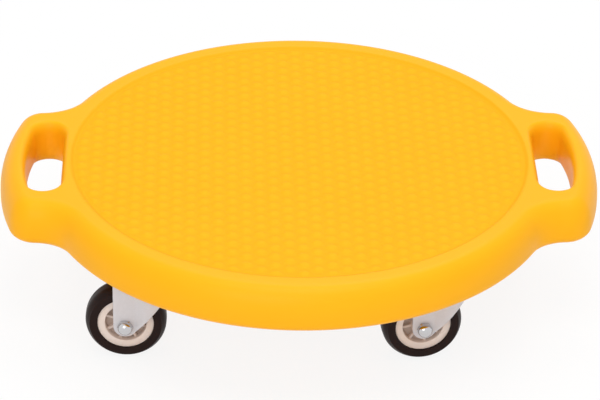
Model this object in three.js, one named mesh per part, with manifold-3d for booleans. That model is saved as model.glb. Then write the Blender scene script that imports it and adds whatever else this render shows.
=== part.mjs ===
// Scooter board: a thick round plastic board with a hand hole in a lobe at each end,
// carried on four ball-bearing swivel casters that are screwed to its underside.
// Millimetres, +Z up. The origin lies on the floor under the middle of the board,
// +X runs from hand hole to hand hole, and the front is the -Y side.
import * as THREE from "three";
import { mergeVertices } from "three/addons/utils/BufferGeometryUtils.js";
import Module from "manifold-3d";

// Board, seen from above
const discRadius = 206.5;
const endRadius = 222;
const lobeCornerRadius = 22.5;
const lobeCornerOffset = 58.5;
const neckRadius = 31;

// Board, from the side
const boardThickness = 36;
const rimRollWidth = 15;
const rimFlatHeight = 3.5;
const undersideCornerRadius = 8.5;
const rimLand = 8.5;
const treadDepth = 1.5;
const treadStepWidth = 1.2;

// Hand holes
const handHoleLand = 1.5;
const handHoleWidth = 26.9;
const handHoleTipOffset = 40;
const handHoleInnerCorner = 20;
const handHoleOuterCorner = 10.5;
const handHoleRoll = 6;
const gripWidth = 21.6;

// Where the casters sit under the board
const casterEdgeGap = 4.5;
const casterAngle = 43.1;

// How far each caster is swivelled from trailing straight to the left, in degrees,
// counterclockwise from above
const swivelTurns = { front_left: -2, front_right: 9, rear_left: 0, rear_right: 0 };

// Wheel
const wheelRadius = 31.75;
const tyreDepth = 9.65;
const tyreWidth = 21.5;
const tyreCrown = 3;
const tyreCorner = 1;
const tyreTreadFlat = 5;
const tyreSeatGap = 0.1;
const rimInset = 1.9;
const rimBandWidth = 5.9;
const rimDraft = 0.5;
const webThickness = 6;
const hubWall = 3.75;
const hubProud = 0.6;
const ribCount = 8;
const ribThickness = 2.2;
const ribHeight = 3;

// How far each wheel has rolled where the board stands, in degrees
const wheelTurns = { front_left: 44, front_right: 17, rear_left: 9, rear_right: 31 };

// Axle
const axleRadius = 3.2;
const axleHoleGap = 0.2;
const sleeveWall = 1.8;
const wheelRunningGap = 0.25;
const hubSideGap = 0.4;
const hexAcrossFlats = 11;
const boltHeadHeight = 4.4;
const capNutBase = 2.4;
const capNutDomeRadius = 5.8;
const capNutDomeHeight = 4.8;
const capNutThreadDepth = 5;
const boltEndGap = 0.6;

// Fork
const trail = 21.8;
const wheelTopGap = 8.44;
const forkSheet = 2;
const crownThickness = 2.2;
const crownLand = 1.9;
const crownEdgeRadius = 1.2;
const legEndRadius = 9.3;
const flankAngle = 29;
const skirtLip = 1.4;

// Swivel bearing
const ballRadius = 2.38;
const ballCount = 8;
const ballGap = 0.15;
const raceDepth = 0.7;
const raceHalfWidth = 2;
const raceFloorHalfWidth = 0.9;
const raceLand = 1.8;
const cageWireRadius = 0.6;
const kingpinRadius = 4.5;
const kingpinGap = 0.35;
const kingpinHeadLip = 4;
const kingpinHeadHeight = 1.8;
const rivetHeadLip = 2.9;
const rivetHeadHeight = 2.2;
const cupRadius = 12.5;
const cupSheet = 1.8;
const cupDepth = 2.6;
const cupRimWidth = 2.6;
const cupGap = 0.3;
const seatGap = 0.1;

// Mount plate and its screws
const plateOverhang = 8.1;
const plateCorner = 6;
const plateThickness = 2.2;
const dishGap = 1.1;
const dishSlope = 1.6;
const headRecess = 0.4;
const screwEdge = 7;
const screwRadius = 2.2;
const screwLength = 16;
const screwTipLength = 3;
const screwHeadRadius = 4.3;
const screwHeadHeight = 2.4;
const screwHoleGap = 0.35;
const pilotGap = 0.15;
const pilotSpareDepth = 1;

// Radii that follow, from the kingpin outwards
const kingpinHeadRadius = kingpinRadius + kingpinHeadLip;
const dishRadius = kingpinHeadRadius + dishGap;
const dishMouthRadius = dishRadius + dishSlope;
const ballPitchRadius = dishMouthRadius + raceLand + raceHalfWidth;
const crownRadius = ballPitchRadius + raceHalfWidth + crownLand;
const plateSide = 2 * (crownRadius + plateOverhang);
const screwOffset = plateSide / 2 - screwEdge;

// Heights that follow, from the floor up
const axleZ = wheelRadius;
const crownBottomZ = 2 * wheelRadius + wheelTopGap;
const crownTopZ = crownBottomZ + crownThickness;
const ballZ = crownTopZ - raceDepth + ballGap + ballRadius;
const plateBottomZ = ballZ + ballRadius + ballGap - raceDepth;
const undersideZ = plateBottomZ + plateThickness;
const topZ = undersideZ + boardThickness;
const rimRollHeight = boardThickness - undersideCornerRadius - rimFlatHeight;
const dishFloorZ = undersideZ - kingpinHeadHeight - headRecess;
const cupTopZ = crownBottomZ - cupGap;

// Distances that follow across the wheel, along its axle
const rimRadius = wheelRadius - tyreDepth;
const hubHalfLength = tyreWidth / 2 + hubProud;
const legInnerY = hubHalfLength + hubSideGap;
const legOuterY = legInnerY + forkSheet;
const sleeveInnerRadius = axleRadius + axleHoleGap;
const sleeveOuterRadius = sleeveInnerRadius + sleeveWall;
const boreRadius = sleeveOuterRadius + wheelRunningGap;
const hexCornerRadius = hexAcrossFlats / 2 / Math.cos(Math.PI / 6);

// Distances that follow over the board, from its middle outwards
const treadRadius = discRadius - rimRollWidth - rimLand;
const handHoleInnerEdge = treadRadius + handHoleLand + handHoleRoll;
const handHoleOuterEdge = handHoleInnerEdge + handHoleWidth;
const halfLength = handHoleOuterEdge + gripWidth;
const plateReach = (plateSide / 2 - plateCorner) * Math.SQRT2 + plateCorner;
const casterReach = discRadius - undersideCornerRadius - casterEdgeGap - plateReach;

// Facets, and the small extra length that every cut runs past its body
const overrun = 1;
const weldTolerance = 1e-4;
const discSteps = 10;
const neckSteps = 3;
const lobeCornerSteps = 4;
const endSteps = 3;
const holeCornerSteps = 4;
const holeRollSteps = 3;
const rollSteps = 4;
const cornerSteps = 3;
const treadSteps = 48;
const wheelSteps = 24;
const bearingSteps = 16;
const smallSteps = 12;
const pinSteps = 8;
const beadSides = 5;
const crownSteps = 2;
const domeSteps = 3;
const screwSteps = 6;
const hexSides = 6;

const wasm = await Module();
wasm.setup();

function colour(hex, roughness, metalness) {
  return new THREE.MeshStandardMaterial({ color: hex, roughness, metalness });
}

const finish = {
  board: colour(0xffc62a, 0.45, 0),
  whitePaint: colour(0xe3dcd6, 0.4, 0.1),
  zinc: colour(0xb9bcc0, 0.35, 0.9),
  chrome: colour(0xd8dadd, 0.1, 1),
  steel: colour(0x9a9da1, 0.35, 0.9),
  creamPlastic: colour(0xe6d3c3, 0.5, 0),
  blackRubber: colour(0x1d1a19, 0.7, 0),
};

// A closed geometry as a solid that can be joined and cut.
function solid(geometry) {
  const shell = geometry.clone();
  shell.deleteAttribute("normal");
  shell.deleteAttribute("uv");
  const merged = mergeVertices(shell, weldTolerance);
  return new wasm.Manifold(
    new wasm.Mesh({
      numProp: 3,
      vertProperties: merged.attributes.position.array,
      triVerts: new Uint32Array(merged.index.array),
    }),
  );
}

// A solid as a geometry again, with flat faces.
function geometryOf(body) {
  const mesh = body.getMesh();
  const indexed = new THREE.BufferGeometry();
  indexed.setAttribute("position", new THREE.BufferAttribute(mesh.vertProperties, 3));
  indexed.setIndex(new THREE.BufferAttribute(mesh.triVerts, 1));
  const faceted = indexed.toNonIndexed();
  faceted.computeVertexNormals();
  return faceted;
}

function piece(name, body, material) {
  const mesh = new THREE.Mesh(geometryOf(body), material);
  mesh.name = name;
  return mesh;
}

// Points on an arc from one angle to another, both in radians, with both ends.
function arc(centre, radius, from, to, steps) {
  return Array.from({ length: steps + 1 }, (_, i) => {
    const angle = THREE.MathUtils.lerp(from, to, i / steps);
    return new THREE.Vector2(
      centre.x + radius * Math.cos(angle),
      centre.y + radius * Math.sin(angle),
    );
  });
}

function angleOf(from, to) {
  return Math.atan2(to.y - from.y, to.x - from.x);
}

// The crossing of two circles that lies to the left of the way from the first to the second.
function crossing(centreA, radiusA, centreB, radiusB) {
  const reach = centreB.clone().sub(centreA);
  const distance = reach.length();
  const along = (distance ** 2 + radiusA ** 2 - radiusB ** 2) / (2 * distance);
  const aside = Math.sqrt(radiusA ** 2 - along ** 2);
  const unit = reach.divideScalar(distance);
  return new THREE.Vector2(
    centreA.x + unit.x * along - unit.y * aside,
    centreA.y + unit.y * along + unit.x * aside,
  );
}

// The same points without those that repeat their neighbour, as where two arcs join.
function withoutRepeats(points) {
  return points.filter((p, i) => {
    const next = points[(i + 1) % points.length];
    return p.distanceTo(next) > weldTolerance;
  });
}

const mirroredX = (points) => points.map((p) => new THREE.Vector2(-p.x, p.y)).reverse();
const mirroredY = (points) => points.map((p) => new THREE.Vector2(p.x, -p.y)).reverse();

// A closed solid through flat loops, each { z, points } with as many points as the others,
// counterclockwise from above and stacked upwards.
function loft(loops) {
  const count = loops[0].points.length;
  const vertices = loops.flatMap(({ z, points }) => points.flatMap((p) => [p.x, p.y, z]));
  const faces = [];
  for (let level = 0; level < loops.length - 1; level++) {
    for (let i = 0; i < count; i++) {
      const a = level * count + i;
      const b = level * count + ((i + 1) % count);
      faces.push(a, b, b + count, a, b + count, a + count);
    }
  }
  const top = loops[loops.length - 1].points;
  for (const [points, first, up] of [
    [loops[0].points, 0, false],
    [top, (loops.length - 1) * count, true],
  ]) {
    for (const [a, b, c] of THREE.ShapeUtils.triangulateShape(points, [])) {
      const facesUp = THREE.ShapeUtils.area([points[a], points[b], points[c]]) > 0;
      const [second, third] = facesUp === up ? [b, c] : [c, b];
      faces.push(first + a, first + second, first + third);
    }
  }
  const geometry = new THREE.BufferGeometry();
  geometry.setAttribute("position", new THREE.Float32BufferAttribute(vertices, 3));
  geometry.setIndex(faces);
  return solid(geometry);
}

// A solid of revolution about Z. The profile is [radius, height] pairs, counterclockwise
// with the radius to the right and the height up, and it closes on itself.
function revolve(profile, steps) {
  const points = profile.map(([radius, height]) => new THREE.Vector2(radius, height));
  points.push(points[0].clone());
  const geometry = new THREE.LatheGeometry(points, steps);
  geometry.rotateX(Math.PI / 2);
  return solid(geometry);
}

// The same about the axle, which runs along Y: [radius, distance along Y] pairs.
function revolveOnAxle(profile, steps) {
  return revolve(profile, steps).rotate([-90, 0, 0]);
}

function cylinder(radius, bottom, top, steps) {
  return revolve([[0, bottom], [radius, bottom], [radius, top], [0, top]], steps);
}

function extrude(shape, bottom, top) {
  const geometry = new THREE.ExtrudeGeometry(shape, { depth: top - bottom, bevelEnabled: false });
  geometry.translate(0, 0, bottom);
  return solid(geometry);
}

function box(sizeX, sizeY, sizeZ, centre) {
  const geometry = new THREE.BoxGeometry(sizeX, sizeY, sizeZ);
  return solid(geometry.translate(centre.x, centre.y, centre.z));
}

// The board's outline, drawn in by some distance. Tangent arcs make it: the end of a lobe,
// the lobe's corner, the hollow neck between lobe and disc, and the disc.
function boardOutline(inset) {
  const disc = new THREE.Vector2(0, 0);
  const end = new THREE.Vector2(halfLength - endRadius, 0);
  const cornerReach = endRadius - lobeCornerRadius;
  const corner = new THREE.Vector2(
    end.x + Math.sqrt(cornerReach ** 2 - lobeCornerOffset ** 2),
    lobeCornerOffset,
  );
  const neck = crossing(disc, discRadius + neckRadius, corner, lobeCornerRadius + neckRadius);
  const endAngle = angleOf(end, corner);
  const quarter = [
    ...arc(end, endRadius - inset, 0, endAngle, endSteps),
    ...arc(corner, lobeCornerRadius - inset, endAngle, angleOf(corner, neck), lobeCornerSteps),
    ...arc(neck, neckRadius + inset, angleOf(neck, corner), angleOf(neck, disc), neckSteps),
    ...arc(disc, discRadius - inset, angleOf(disc, neck), Math.PI / 2, discSteps),
  ];
  const half = [...quarter, ...mirroredX(quarter)];
  return withoutRepeats([...half, ...mirroredY(half)]);
}

// The right hand hole's outline, widened by some distance: a straight inner edge, two corner
// arcs on each side, and an outer edge that runs alongside the board's end. The outer corner
// is no rounder than the hole's width allows.
function handHoleOutline(growth) {
  const end = new THREE.Vector2(halfLength - endRadius, 0);
  const edgeRadius = endRadius - gripWidth;
  const edgeX = handHoleInnerEdge - end.x;
  const room = edgeRadius ** 2 - edgeX ** 2 - handHoleTipOffset ** 2;
  const outerRadius = Math.min(handHoleOuterCorner, room / (2 * (edgeX + edgeRadius)));
  const outer = new THREE.Vector2(
    end.x + Math.sqrt((edgeRadius - outerRadius) ** 2 - handHoleTipOffset ** 2),
    handHoleTipOffset,
  );
  const innerX = handHoleInnerEdge + handHoleInnerCorner;
  const step = handHoleInnerCorner - outerRadius;
  const inner = new THREE.Vector2(innerX, outer.y - Math.sqrt(step ** 2 - (innerX - outer.x) ** 2));
  const endAngle = angleOf(end, outer);
  const tipAngle = angleOf(inner, outer);
  const half = [
    ...arc(end, edgeRadius + growth, 0, endAngle, endSteps),
    ...arc(outer, outerRadius + growth, endAngle, tipAngle, holeCornerSteps),
    ...arc(inner, handHoleInnerCorner + growth, tipAngle, Math.PI, holeCornerSteps),
  ];
  return withoutRepeats([...half, ...mirroredY(half)]);
}

// A body through both faces of the board, widest at the faces, so that the walls it leaves
// are round like a grip.
function handHoleCutter() {
  const middleZ = undersideZ + boardThickness / 2;
  const loops = [];
  for (let i = -holeRollSteps; i <= holeRollSteps; i++) {
    const angle = (i / holeRollSteps) * (Math.PI / 2);
    const z = middleZ + (boardThickness / 2) * Math.sin(angle);
    loops.push({ z, points: handHoleOutline(handHoleRoll * (1 - Math.cos(angle))) });
  }
  const mouth = handHoleOutline(handHoleRoll);
  loops.unshift({ z: undersideZ - overrun, points: mouth });
  loops.push({ z: topZ + overrun, points: mouth });
  return loft(loops);
}

function boardShell() {
  const loops = [];
  for (let i = 0; i <= cornerSteps; i++) {
    const angle = (i / cornerSteps) * (Math.PI / 2);
    loops.push({
      z: undersideZ + undersideCornerRadius * (1 - Math.cos(angle)),
      points: boardOutline(undersideCornerRadius * (1 - Math.sin(angle))),
    });
  }
  for (let i = 0; i <= rollSteps; i++) {
    const angle = (i / rollSteps) * (Math.PI / 2);
    loops.push({
      z: topZ - rimRollHeight * (1 - Math.sin(angle)),
      points: boardOutline(rimRollWidth * (1 - Math.cos(angle))),
    });
  }
  return loft(loops);
}

// The round tread area, one step lower than the land around it.
function treadCutter() {
  return revolve(
    [
      [0, topZ - treadDepth],
      [treadRadius - treadStepWidth, topZ - treadDepth],
      [treadRadius, topZ],
      [treadRadius, topZ + overrun],
      [0, topZ + overrun],
    ],
    treadSteps,
  );
}

const casterPlaces = [
  ["front_left", -1, -1],
  ["front_right", 1, -1],
  ["rear_left", -1, 1],
  ["rear_right", 1, 1],
].map(([name, sideX, sideY]) => {
  const angle = THREE.MathUtils.degToRad(casterAngle);
  const x = sideX * casterReach * Math.cos(angle);
  const y = sideY * casterReach * Math.sin(angle);
  return { name, x, y };
});

const screwPlaces = [
  [-1, -1],
  [1, -1],
  [1, 1],
  [-1, 1],
].map(([sideX, sideY]) => [sideX * screwOffset, sideY * screwOffset]);

function board() {
  const hole = handHoleCutter();
  const pilotTop = undersideZ + screwLength - plateThickness + pilotSpareDepth;
  const pilot = cylinder(screwRadius + pilotGap, undersideZ - overrun, pilotTop, screwSteps);
  const pilots = casterPlaces.flatMap(({ x, y }) =>
    screwPlaces.map(([screwX, screwY]) => pilot.translate([x + screwX, y + screwY, 0])),
  );
  const cuts = wasm.Manifold.union([hole, hole.mirror([1, 0, 0]), treadCutter(), ...pilots]);
  return piece("board", boardShell().subtract(cuts), finish.board);
}

// The pressed top plate: a rounded square with four screw holes, a dish that takes the
// kingpin's head, and a ball race pressed into its underside.
function mountPlate(name) {
  const flat = plateSide / 2 - plateCorner;
  const outline = new THREE.Shape(
    withoutRepeats(
      [[1, 1], [-1, 1], [-1, -1], [1, -1]].flatMap(([sideX, sideY], i) =>
        arc(
          new THREE.Vector2(sideX * flat, sideY * flat),
          plateCorner,
          (i * Math.PI) / 2,
          ((i + 1) * Math.PI) / 2,
          cornerSteps,
        ),
      ),
    ),
  );
  const dishBottomZ = dishFloorZ - plateThickness;
  const holeRadius = kingpinRadius + seatGap;
  const dish = revolve(
    [
      [holeRadius, dishBottomZ],
      [dishRadius, dishBottomZ],
      [dishMouthRadius, plateBottomZ],
      [dishMouthRadius, undersideZ],
      [dishRadius, dishFloorZ],
      [holeRadius, dishFloorZ],
    ],
    bearingSteps,
  );
  const opening = cylinder(
    dishMouthRadius,
    plateBottomZ - overrun,
    undersideZ + overrun,
    bearingSteps,
  );
  const race = raceCutter(plateBottomZ, 1);
  const hole = cylinder(
    screwRadius + screwHoleGap,
    plateBottomZ - overrun,
    undersideZ + overrun,
    screwSteps,
  );
  const holes = screwPlaces.map(([x, y]) => hole.translate([x, y, 0]));
  const sheet = extrude(outline, plateBottomZ, undersideZ);
  const cut = sheet.subtract(wasm.Manifold.union([opening, race, ...holes]));
  return piece(name, cut.add(dish), finish.zinc);
}

// A ring-shaped body that cuts a ball race into a level face, upwards (1) or downwards (-1).
function raceCutter(faceZ, side) {
  const floorZ = faceZ + side * raceDepth;
  const mouthZ = faceZ - side * overrun;
  const profile = [
    [ballPitchRadius - raceHalfWidth, mouthZ],
    [ballPitchRadius + raceHalfWidth, mouthZ],
    [ballPitchRadius + raceHalfWidth, faceZ],
    [ballPitchRadius + raceFloorHalfWidth, floorZ],
    [ballPitchRadius - raceFloorHalfWidth, floorZ],
    [ballPitchRadius - raceHalfWidth, faceZ],
  ];
  return revolve(side > 0 ? profile : profile.reverse(), bearingSteps);
}

function plateScrew(name) {
  const headBottomZ = plateBottomZ - screwHeadHeight;
  const tipZ = plateBottomZ + screwLength;
  const rimZ = plateBottomZ - screwHeadHeight / 2;
  const body = revolve(
    [
      [0, headBottomZ],
      [screwHeadRadius, rimZ],
      [screwHeadRadius, plateBottomZ],
      [screwRadius, plateBottomZ],
      [screwRadius, tipZ - screwTipLength],
      [0, tipZ],
    ],
    screwSteps,
  );
  return piece(name, body, finish.steel);
}

// The rivet that ties plate and fork together: its head lies in the plate's dish, and its
// lower end is spread over the bearing cup.
function kingpin(name) {
  const rivetHeadRadius = kingpinRadius + rivetHeadLip;
  const cupFloorZ = cupTopZ - cupDepth - cupSheet;
  const rivetBottomZ = cupFloorZ - rivetHeadHeight;
  const body = revolve(
    [
      [0, rivetBottomZ],
      [rivetHeadRadius / 2, rivetBottomZ],
      [rivetHeadRadius, cupFloorZ - rivetHeadHeight / 2],
      [rivetHeadRadius, cupFloorZ],
      [kingpinRadius, cupFloorZ],
      [kingpinRadius, dishFloorZ],
      [kingpinHeadRadius, dishFloorZ],
      [kingpinHeadRadius, dishFloorZ + kingpinHeadHeight],
      [0, dishFloorZ + kingpinHeadHeight],
    ],
    pinSteps,
  );
  return piece(name, body, finish.steel);
}

// The pressed cup that holds the fork up against the balls from below.
function bearingCup(name) {
  const holeRadius = kingpinRadius + seatGap;
  const floorTopZ = cupTopZ - cupDepth;
  const floorBottomZ = floorTopZ - cupSheet;
  const floorRadius = cupRadius - cupRimWidth - cupSheet;
  const body = revolve(
    [
      [holeRadius, floorBottomZ],
      [floorRadius, floorBottomZ],
      [cupRadius, cupTopZ - cupSheet],
      [cupRadius, cupTopZ],
      [cupRadius - cupRimWidth, cupTopZ],
      [floorRadius - cupSheet / 2, floorTopZ],
      [holeRadius, floorTopZ],
    ],
    pinSteps,
  );
  return piece(name, body, finish.zinc);
}

// A closed ring whose thickness changes along the way: stations are [turn, radius] pairs,
// with the turn in radians about Z.
function beadedRing(stations, centreZ) {
  const vertices = stations.flatMap(([turn, radius]) =>
    Array.from({ length: beadSides }, (_, side) => {
      const angle = (side * 2 * Math.PI) / beadSides + Math.PI / 2;
      const reach = ballPitchRadius + radius * Math.cos(angle);
      return [reach * Math.cos(turn), reach * Math.sin(turn), centreZ + radius * Math.sin(angle)];
    }).flat(),
  );
  const faces = [];
  stations.forEach((_, station) => {
    const here = station * beadSides;
    const next = ((station + 1) % stations.length) * beadSides;
    for (let side = 0; side < beadSides; side++) {
      const turned = (side + 1) % beadSides;
      faces.push(here + side, next + side, next + turned);
      faces.push(here + side, next + turned, here + turned);
    }
  });
  const geometry = new THREE.BufferGeometry();
  geometry.setAttribute("position", new THREE.Float32BufferAttribute(vertices, 3));
  geometry.setIndex(faces);
  return solid(geometry);
}

// The ring of swivel balls, strung at even distances on their wire cage.
function ballRing(name) {
  const halfBall = Math.asin(cageWireRadius / ballRadius);
  const angles = [halfBall, Math.PI / 2, Math.PI - halfBall];
  const stations = Array.from({ length: ballCount }, (_, i) => {
    const turn = (i * 2 * Math.PI) / ballCount;
    return angles.map((angle) => [
      turn - (ballRadius * Math.cos(angle)) / ballPitchRadius,
      ballRadius * Math.sin(angle),
    ]);
  });
  return piece(name, beadedRing(stations.flat(), ballZ), finish.steel);
}

// The fork seen from above, drawn in by some distance: a round drum about the kingpin, two
// flanks that leave it at a tangent, and two level legs that reach back to the axle.
function forkOutline(inset, rearX) {
  const turn = THREE.MathUtils.degToRad(90 + flankAngle);
  const legY = legOuterY - inset;
  const drumRadius = crownRadius - inset;
  const drum = arc(new THREE.Vector2(0, 0), drumRadius, 0, turn, bearingSteps / 2);
  const creaseX = (drumRadius - Math.sin(turn) * legY) / Math.cos(turn);
  const half = [...drum, new THREE.Vector2(creaseX, legY), new THREE.Vector2(rearX, legY)];
  return withoutRepeats([...half, ...mirroredY(half)]);
}

// The legs seen from the side: round at the axle, upright behind it, and slanted in front
// up to the lip of the drum's skirt.
function legProfile() {
  const axle = new THREE.Vector2(-trail, axleZ);
  const lip = new THREE.Vector2(crownRadius, crownBottomZ - skirtLip);
  const slant = angleOf(axle, lip) - Math.acos(legEndRadius / axle.distanceTo(lip));
  const frontX = crownRadius + overrun;
  return new THREE.Shape([
    ...arc(axle, legEndRadius, Math.PI, 2 * Math.PI + slant, smallSteps / 2),
    lip,
    new THREE.Vector2(frontX, lip.y),
    new THREE.Vector2(frontX, crownTopZ + overrun),
    new THREE.Vector2(-trail - legEndRadius, crownTopZ + overrun),
  ]);
}

function fork(name) {
  const rearX = -trail - legEndRadius;
  const legBottomZ = axleZ - legEndRadius;
  const outside = loft([
    { z: legBottomZ - overrun, points: forkOutline(0, rearX) },
    { z: crownTopZ - crownEdgeRadius, points: forkOutline(0, rearX) },
    { z: crownTopZ, points: forkOutline(crownEdgeRadius, rearX) },
  ]);
  const inside = loft([
    { z: legBottomZ - 2 * overrun, points: forkOutline(forkSheet, rearX - overrun) },
    { z: crownBottomZ, points: forkOutline(forkSheet, rearX - overrun) },
  ]);
  const sideways = extrude(legProfile(), -crownRadius - overrun, crownRadius + overrun);
  const pinHole = cylinder(
    kingpinRadius + kingpinGap,
    crownBottomZ - overrun,
    crownTopZ + overrun,
    smallSteps,
  );
  const axleHole = revolveOnAxle(
    [
      [0, -legOuterY - overrun],
      [axleRadius + axleHoleGap, -legOuterY - overrun],
      [axleRadius + axleHoleGap, legOuterY + overrun],
      [0, legOuterY + overrun],
    ],
    smallSteps,
  ).translate([-trail, 0, axleZ]);
  const cuts = wasm.Manifold.union([inside, pinHole, axleHole, raceCutter(crownTopZ, -1)]);
  const body = outside.intersect(sideways.rotate([90, 0, 0])).subtract(cuts);
  return piece(name, body, finish.whitePaint);
}

// The wheel's plastic centre: a band that carries the tyre, a web, a hub and stiffening ribs
// on both sides of the web. Its bore runs on the sleeve. The ribs are turned as far as the
// wheel has rolled, counterclockwise as seen from the front.
function wheelRim(name, turn) {
  const hubRadius = boreRadius + hubWall;
  const rimY = tyreWidth / 2 - rimInset;
  const bandInner = rimRadius - rimBandWidth;
  const bandRoot = bandInner - rimDraft;
  const body = revolveOnAxle(
    [
      [boreRadius, -hubHalfLength],
      [hubRadius, -hubHalfLength],
      [hubRadius, -webThickness / 2],
      [bandRoot, -webThickness / 2],
      [bandInner, -rimY],
      [rimRadius, -rimY],
      [rimRadius, rimY],
      [bandInner, rimY],
      [bandRoot, webThickness / 2],
      [hubRadius, webThickness / 2],
      [hubRadius, hubHalfLength],
      [boreRadius, hubHalfLength],
    ],
    wheelSteps,
  );
  const ribWidthY = webThickness + 2 * ribHeight;
  const ribStart = hubRadius - ribThickness / 2;
  const ribEnd = bandRoot + ribThickness / 2;
  const ribCentre = new THREE.Vector3((ribStart + ribEnd) / 2, 0, 0);
  const rib = box(ribEnd - ribStart, ribWidthY, ribThickness, ribCentre);
  const ribs = Array.from({ length: ribCount }, (_, i) =>
    rib.rotate([0, -turn - (i * 360) / ribCount, 0]),
  );
  return piece(name, wasm.Manifold.union([body, ...ribs]), finish.creamPlastic);
}

// The tread ring. Its tread falls off on both sides of a narrow level strip, down to a small
// corner over each side wall.
function tyre(name) {
  const side = tyreWidth / 2;
  const flat = tyreTreadFlat / 2;
  const crown = Array.from({ length: crownSteps + 1 }, (_, i) => {
    const share = 1 - i / crownSteps;
    const y = flat + share * (side - tyreCorner - flat);
    return [wheelRadius - tyreCrown * share ** 2, -y];
  });
  const half = [
    [rimRadius + tyreSeatGap, -side],
    [wheelRadius - tyreCrown - tyreCorner, -side],
    ...crown,
  ];
  const otherHalf = half.map(([radius, y]) => [radius, -y]).reverse();
  return piece(name, revolveOnAxle([...half, ...otherHalf], wheelSteps), finish.blackRubber);
}

// The bush that the legs clamp and the wheel turns on.
function axleSleeve(name) {
  const body = revolveOnAxle(
    [
      [sleeveInnerRadius, -legInnerY],
      [sleeveOuterRadius, -legInnerY],
      [sleeveOuterRadius, legInnerY],
      [sleeveInnerRadius, legInnerY],
    ],
    smallSteps,
  );
  return piece(name, body, finish.steel);
}

// A hexagonal prism on the axle between two places along Y.
function hexagon(fromY, toY) {
  return revolveOnAxle(
    [[0, fromY], [hexCornerRadius, fromY], [hexCornerRadius, toY], [0, toY]],
    hexSides,
  );
}

function axleBolt(name) {
  const endY = -legOuterY - capNutThreadDepth + boltEndGap;
  const shank = revolveOnAxle(
    [[0, endY], [axleRadius, endY], [axleRadius, legOuterY + overrun], [0, legOuterY + overrun]],
    smallSteps,
  );
  const head = hexagon(legOuterY, legOuterY + boltHeadHeight);
  return piece(name, shank.add(head), finish.chrome);
}

// The domed nut on the front end of the axle bolt.
function capNut(name) {
  const seatY = -legOuterY;
  const domeY = seatY - capNutBase;
  const domeRise = Array.from({ length: domeSteps + 1 }, (_, i) => {
    const angle = (i / domeSteps) * (Math.PI / 2);
    return [capNutDomeRadius * Math.sin(angle), domeY - capNutDomeHeight * Math.cos(angle)];
  });
  const dome = revolveOnAxle([...domeRise, [0, domeY]], smallSteps);
  const thread = revolveOnAxle(
    [
      [0, seatY - capNutThreadDepth],
      [axleRadius + axleHoleGap, seatY - capNutThreadDepth],
      [axleRadius + axleHoleGap, seatY + overrun],
      [0, seatY + overrun],
    ],
    smallSteps,
  );
  return piece(name, hexagon(domeY, seatY).add(dome).subtract(thread), finish.chrome);
}

function caster({ name, x, y }) {
  const whole = new THREE.Group();
  whole.position.set(x, y, 0);
  whole.add(
    mountPlate(`${name}_mount_plate`),
    kingpin(`${name}_kingpin`),
    bearingCup(`${name}_bearing_cup`),
  );
  screwPlaces.forEach(([screwX, screwY], i) => {
    const screw = plateScrew(`${name}_plate_screw_${i + 1}`);
    screw.position.set(screwX, screwY, 0);
    whole.add(screw);
  });
  const swivel = new THREE.Group();
  swivel.rotation.z = THREE.MathUtils.degToRad(swivelTurns[name]);
  swivel.add(ballRing(`${name}_ball_ring`), fork(`${name}_fork`));
  const axle = new THREE.Group();
  axle.position.set(-trail, 0, axleZ);
  axle.add(
    axleBolt(`${name}_axle_bolt`),
    capNut(`${name}_cap_nut`),
    axleSleeve(`${name}_axle_sleeve`),
    wheelRim(`${name}_wheel_rim`, wheelTurns[name]),
    tyre(`${name}_tyre`),
  );
  swivel.add(axle);
  whole.add(swivel);
  return whole;
}

const scooterBoard = new THREE.Group();
scooterBoard.add(board(), ...casterPlaces.map(caster));

export default scooterBoard;
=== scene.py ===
# %% [markdown]
# # A scooter board, dressed around its CAD frame
#
# The object is a thick round board, blow-moulded from yellow polyethylene. A lobe with a
# hand hole sticks out on each side, and four swivel casters are screwed underneath. The CAD
# frame already fixes every size, place and joint. This lesson gives each piece its fine
# surface and its finish. Lengths are in millimetres, because the parts were drawn that way,
# and they turn into Blender's metres when a mesh is made.

# %% Load the frame
import math

import bmesh
import bpy
import numpy as np
from mathutils import Matrix, Vector
from mathutils.geometry import delaunay_2d_cdt


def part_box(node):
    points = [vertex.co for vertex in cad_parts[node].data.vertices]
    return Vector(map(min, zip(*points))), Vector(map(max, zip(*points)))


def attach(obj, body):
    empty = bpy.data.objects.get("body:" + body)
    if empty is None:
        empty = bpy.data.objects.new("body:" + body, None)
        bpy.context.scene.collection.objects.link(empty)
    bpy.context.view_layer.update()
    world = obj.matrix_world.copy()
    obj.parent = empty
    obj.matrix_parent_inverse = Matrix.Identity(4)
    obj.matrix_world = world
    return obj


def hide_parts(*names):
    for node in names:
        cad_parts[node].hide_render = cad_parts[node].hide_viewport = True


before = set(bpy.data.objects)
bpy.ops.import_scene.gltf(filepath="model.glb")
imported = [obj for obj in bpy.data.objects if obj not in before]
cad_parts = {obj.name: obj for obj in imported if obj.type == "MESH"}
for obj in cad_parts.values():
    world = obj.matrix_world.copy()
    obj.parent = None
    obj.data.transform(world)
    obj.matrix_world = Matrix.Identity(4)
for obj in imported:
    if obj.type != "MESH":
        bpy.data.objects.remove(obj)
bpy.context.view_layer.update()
print("CAD pieces:", len(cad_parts))

# %% [markdown]
# ## Small helpers
#
# The first function turns a hex colour, which is how a designer notes a colour, into the
# linear values that shaders add up. The others read a CAD node's box in millimetres, set
# several fields at once, put an object in the scene, and make a mesh from points in
# millimetres.

# %% Helpers for colours, sizes and objects
MM = 0.001


def linear(hex_colour):
    """The linear RGBA of an sRGB hex colour such as "#ffbb22"."""
    channels = [int(hex_colour[i : i + 2], 16) / 255 for i in (1, 3, 5)]
    return [c / 12.92 if c <= 0.04045 else ((c + 0.055) / 1.055) ** 2.4 for c in channels] + [1.0]


def box_mm(node):
    """The lowest and highest corner of a CAD node, in millimetres."""
    low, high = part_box(node)
    return low / MM, high / MM


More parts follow.
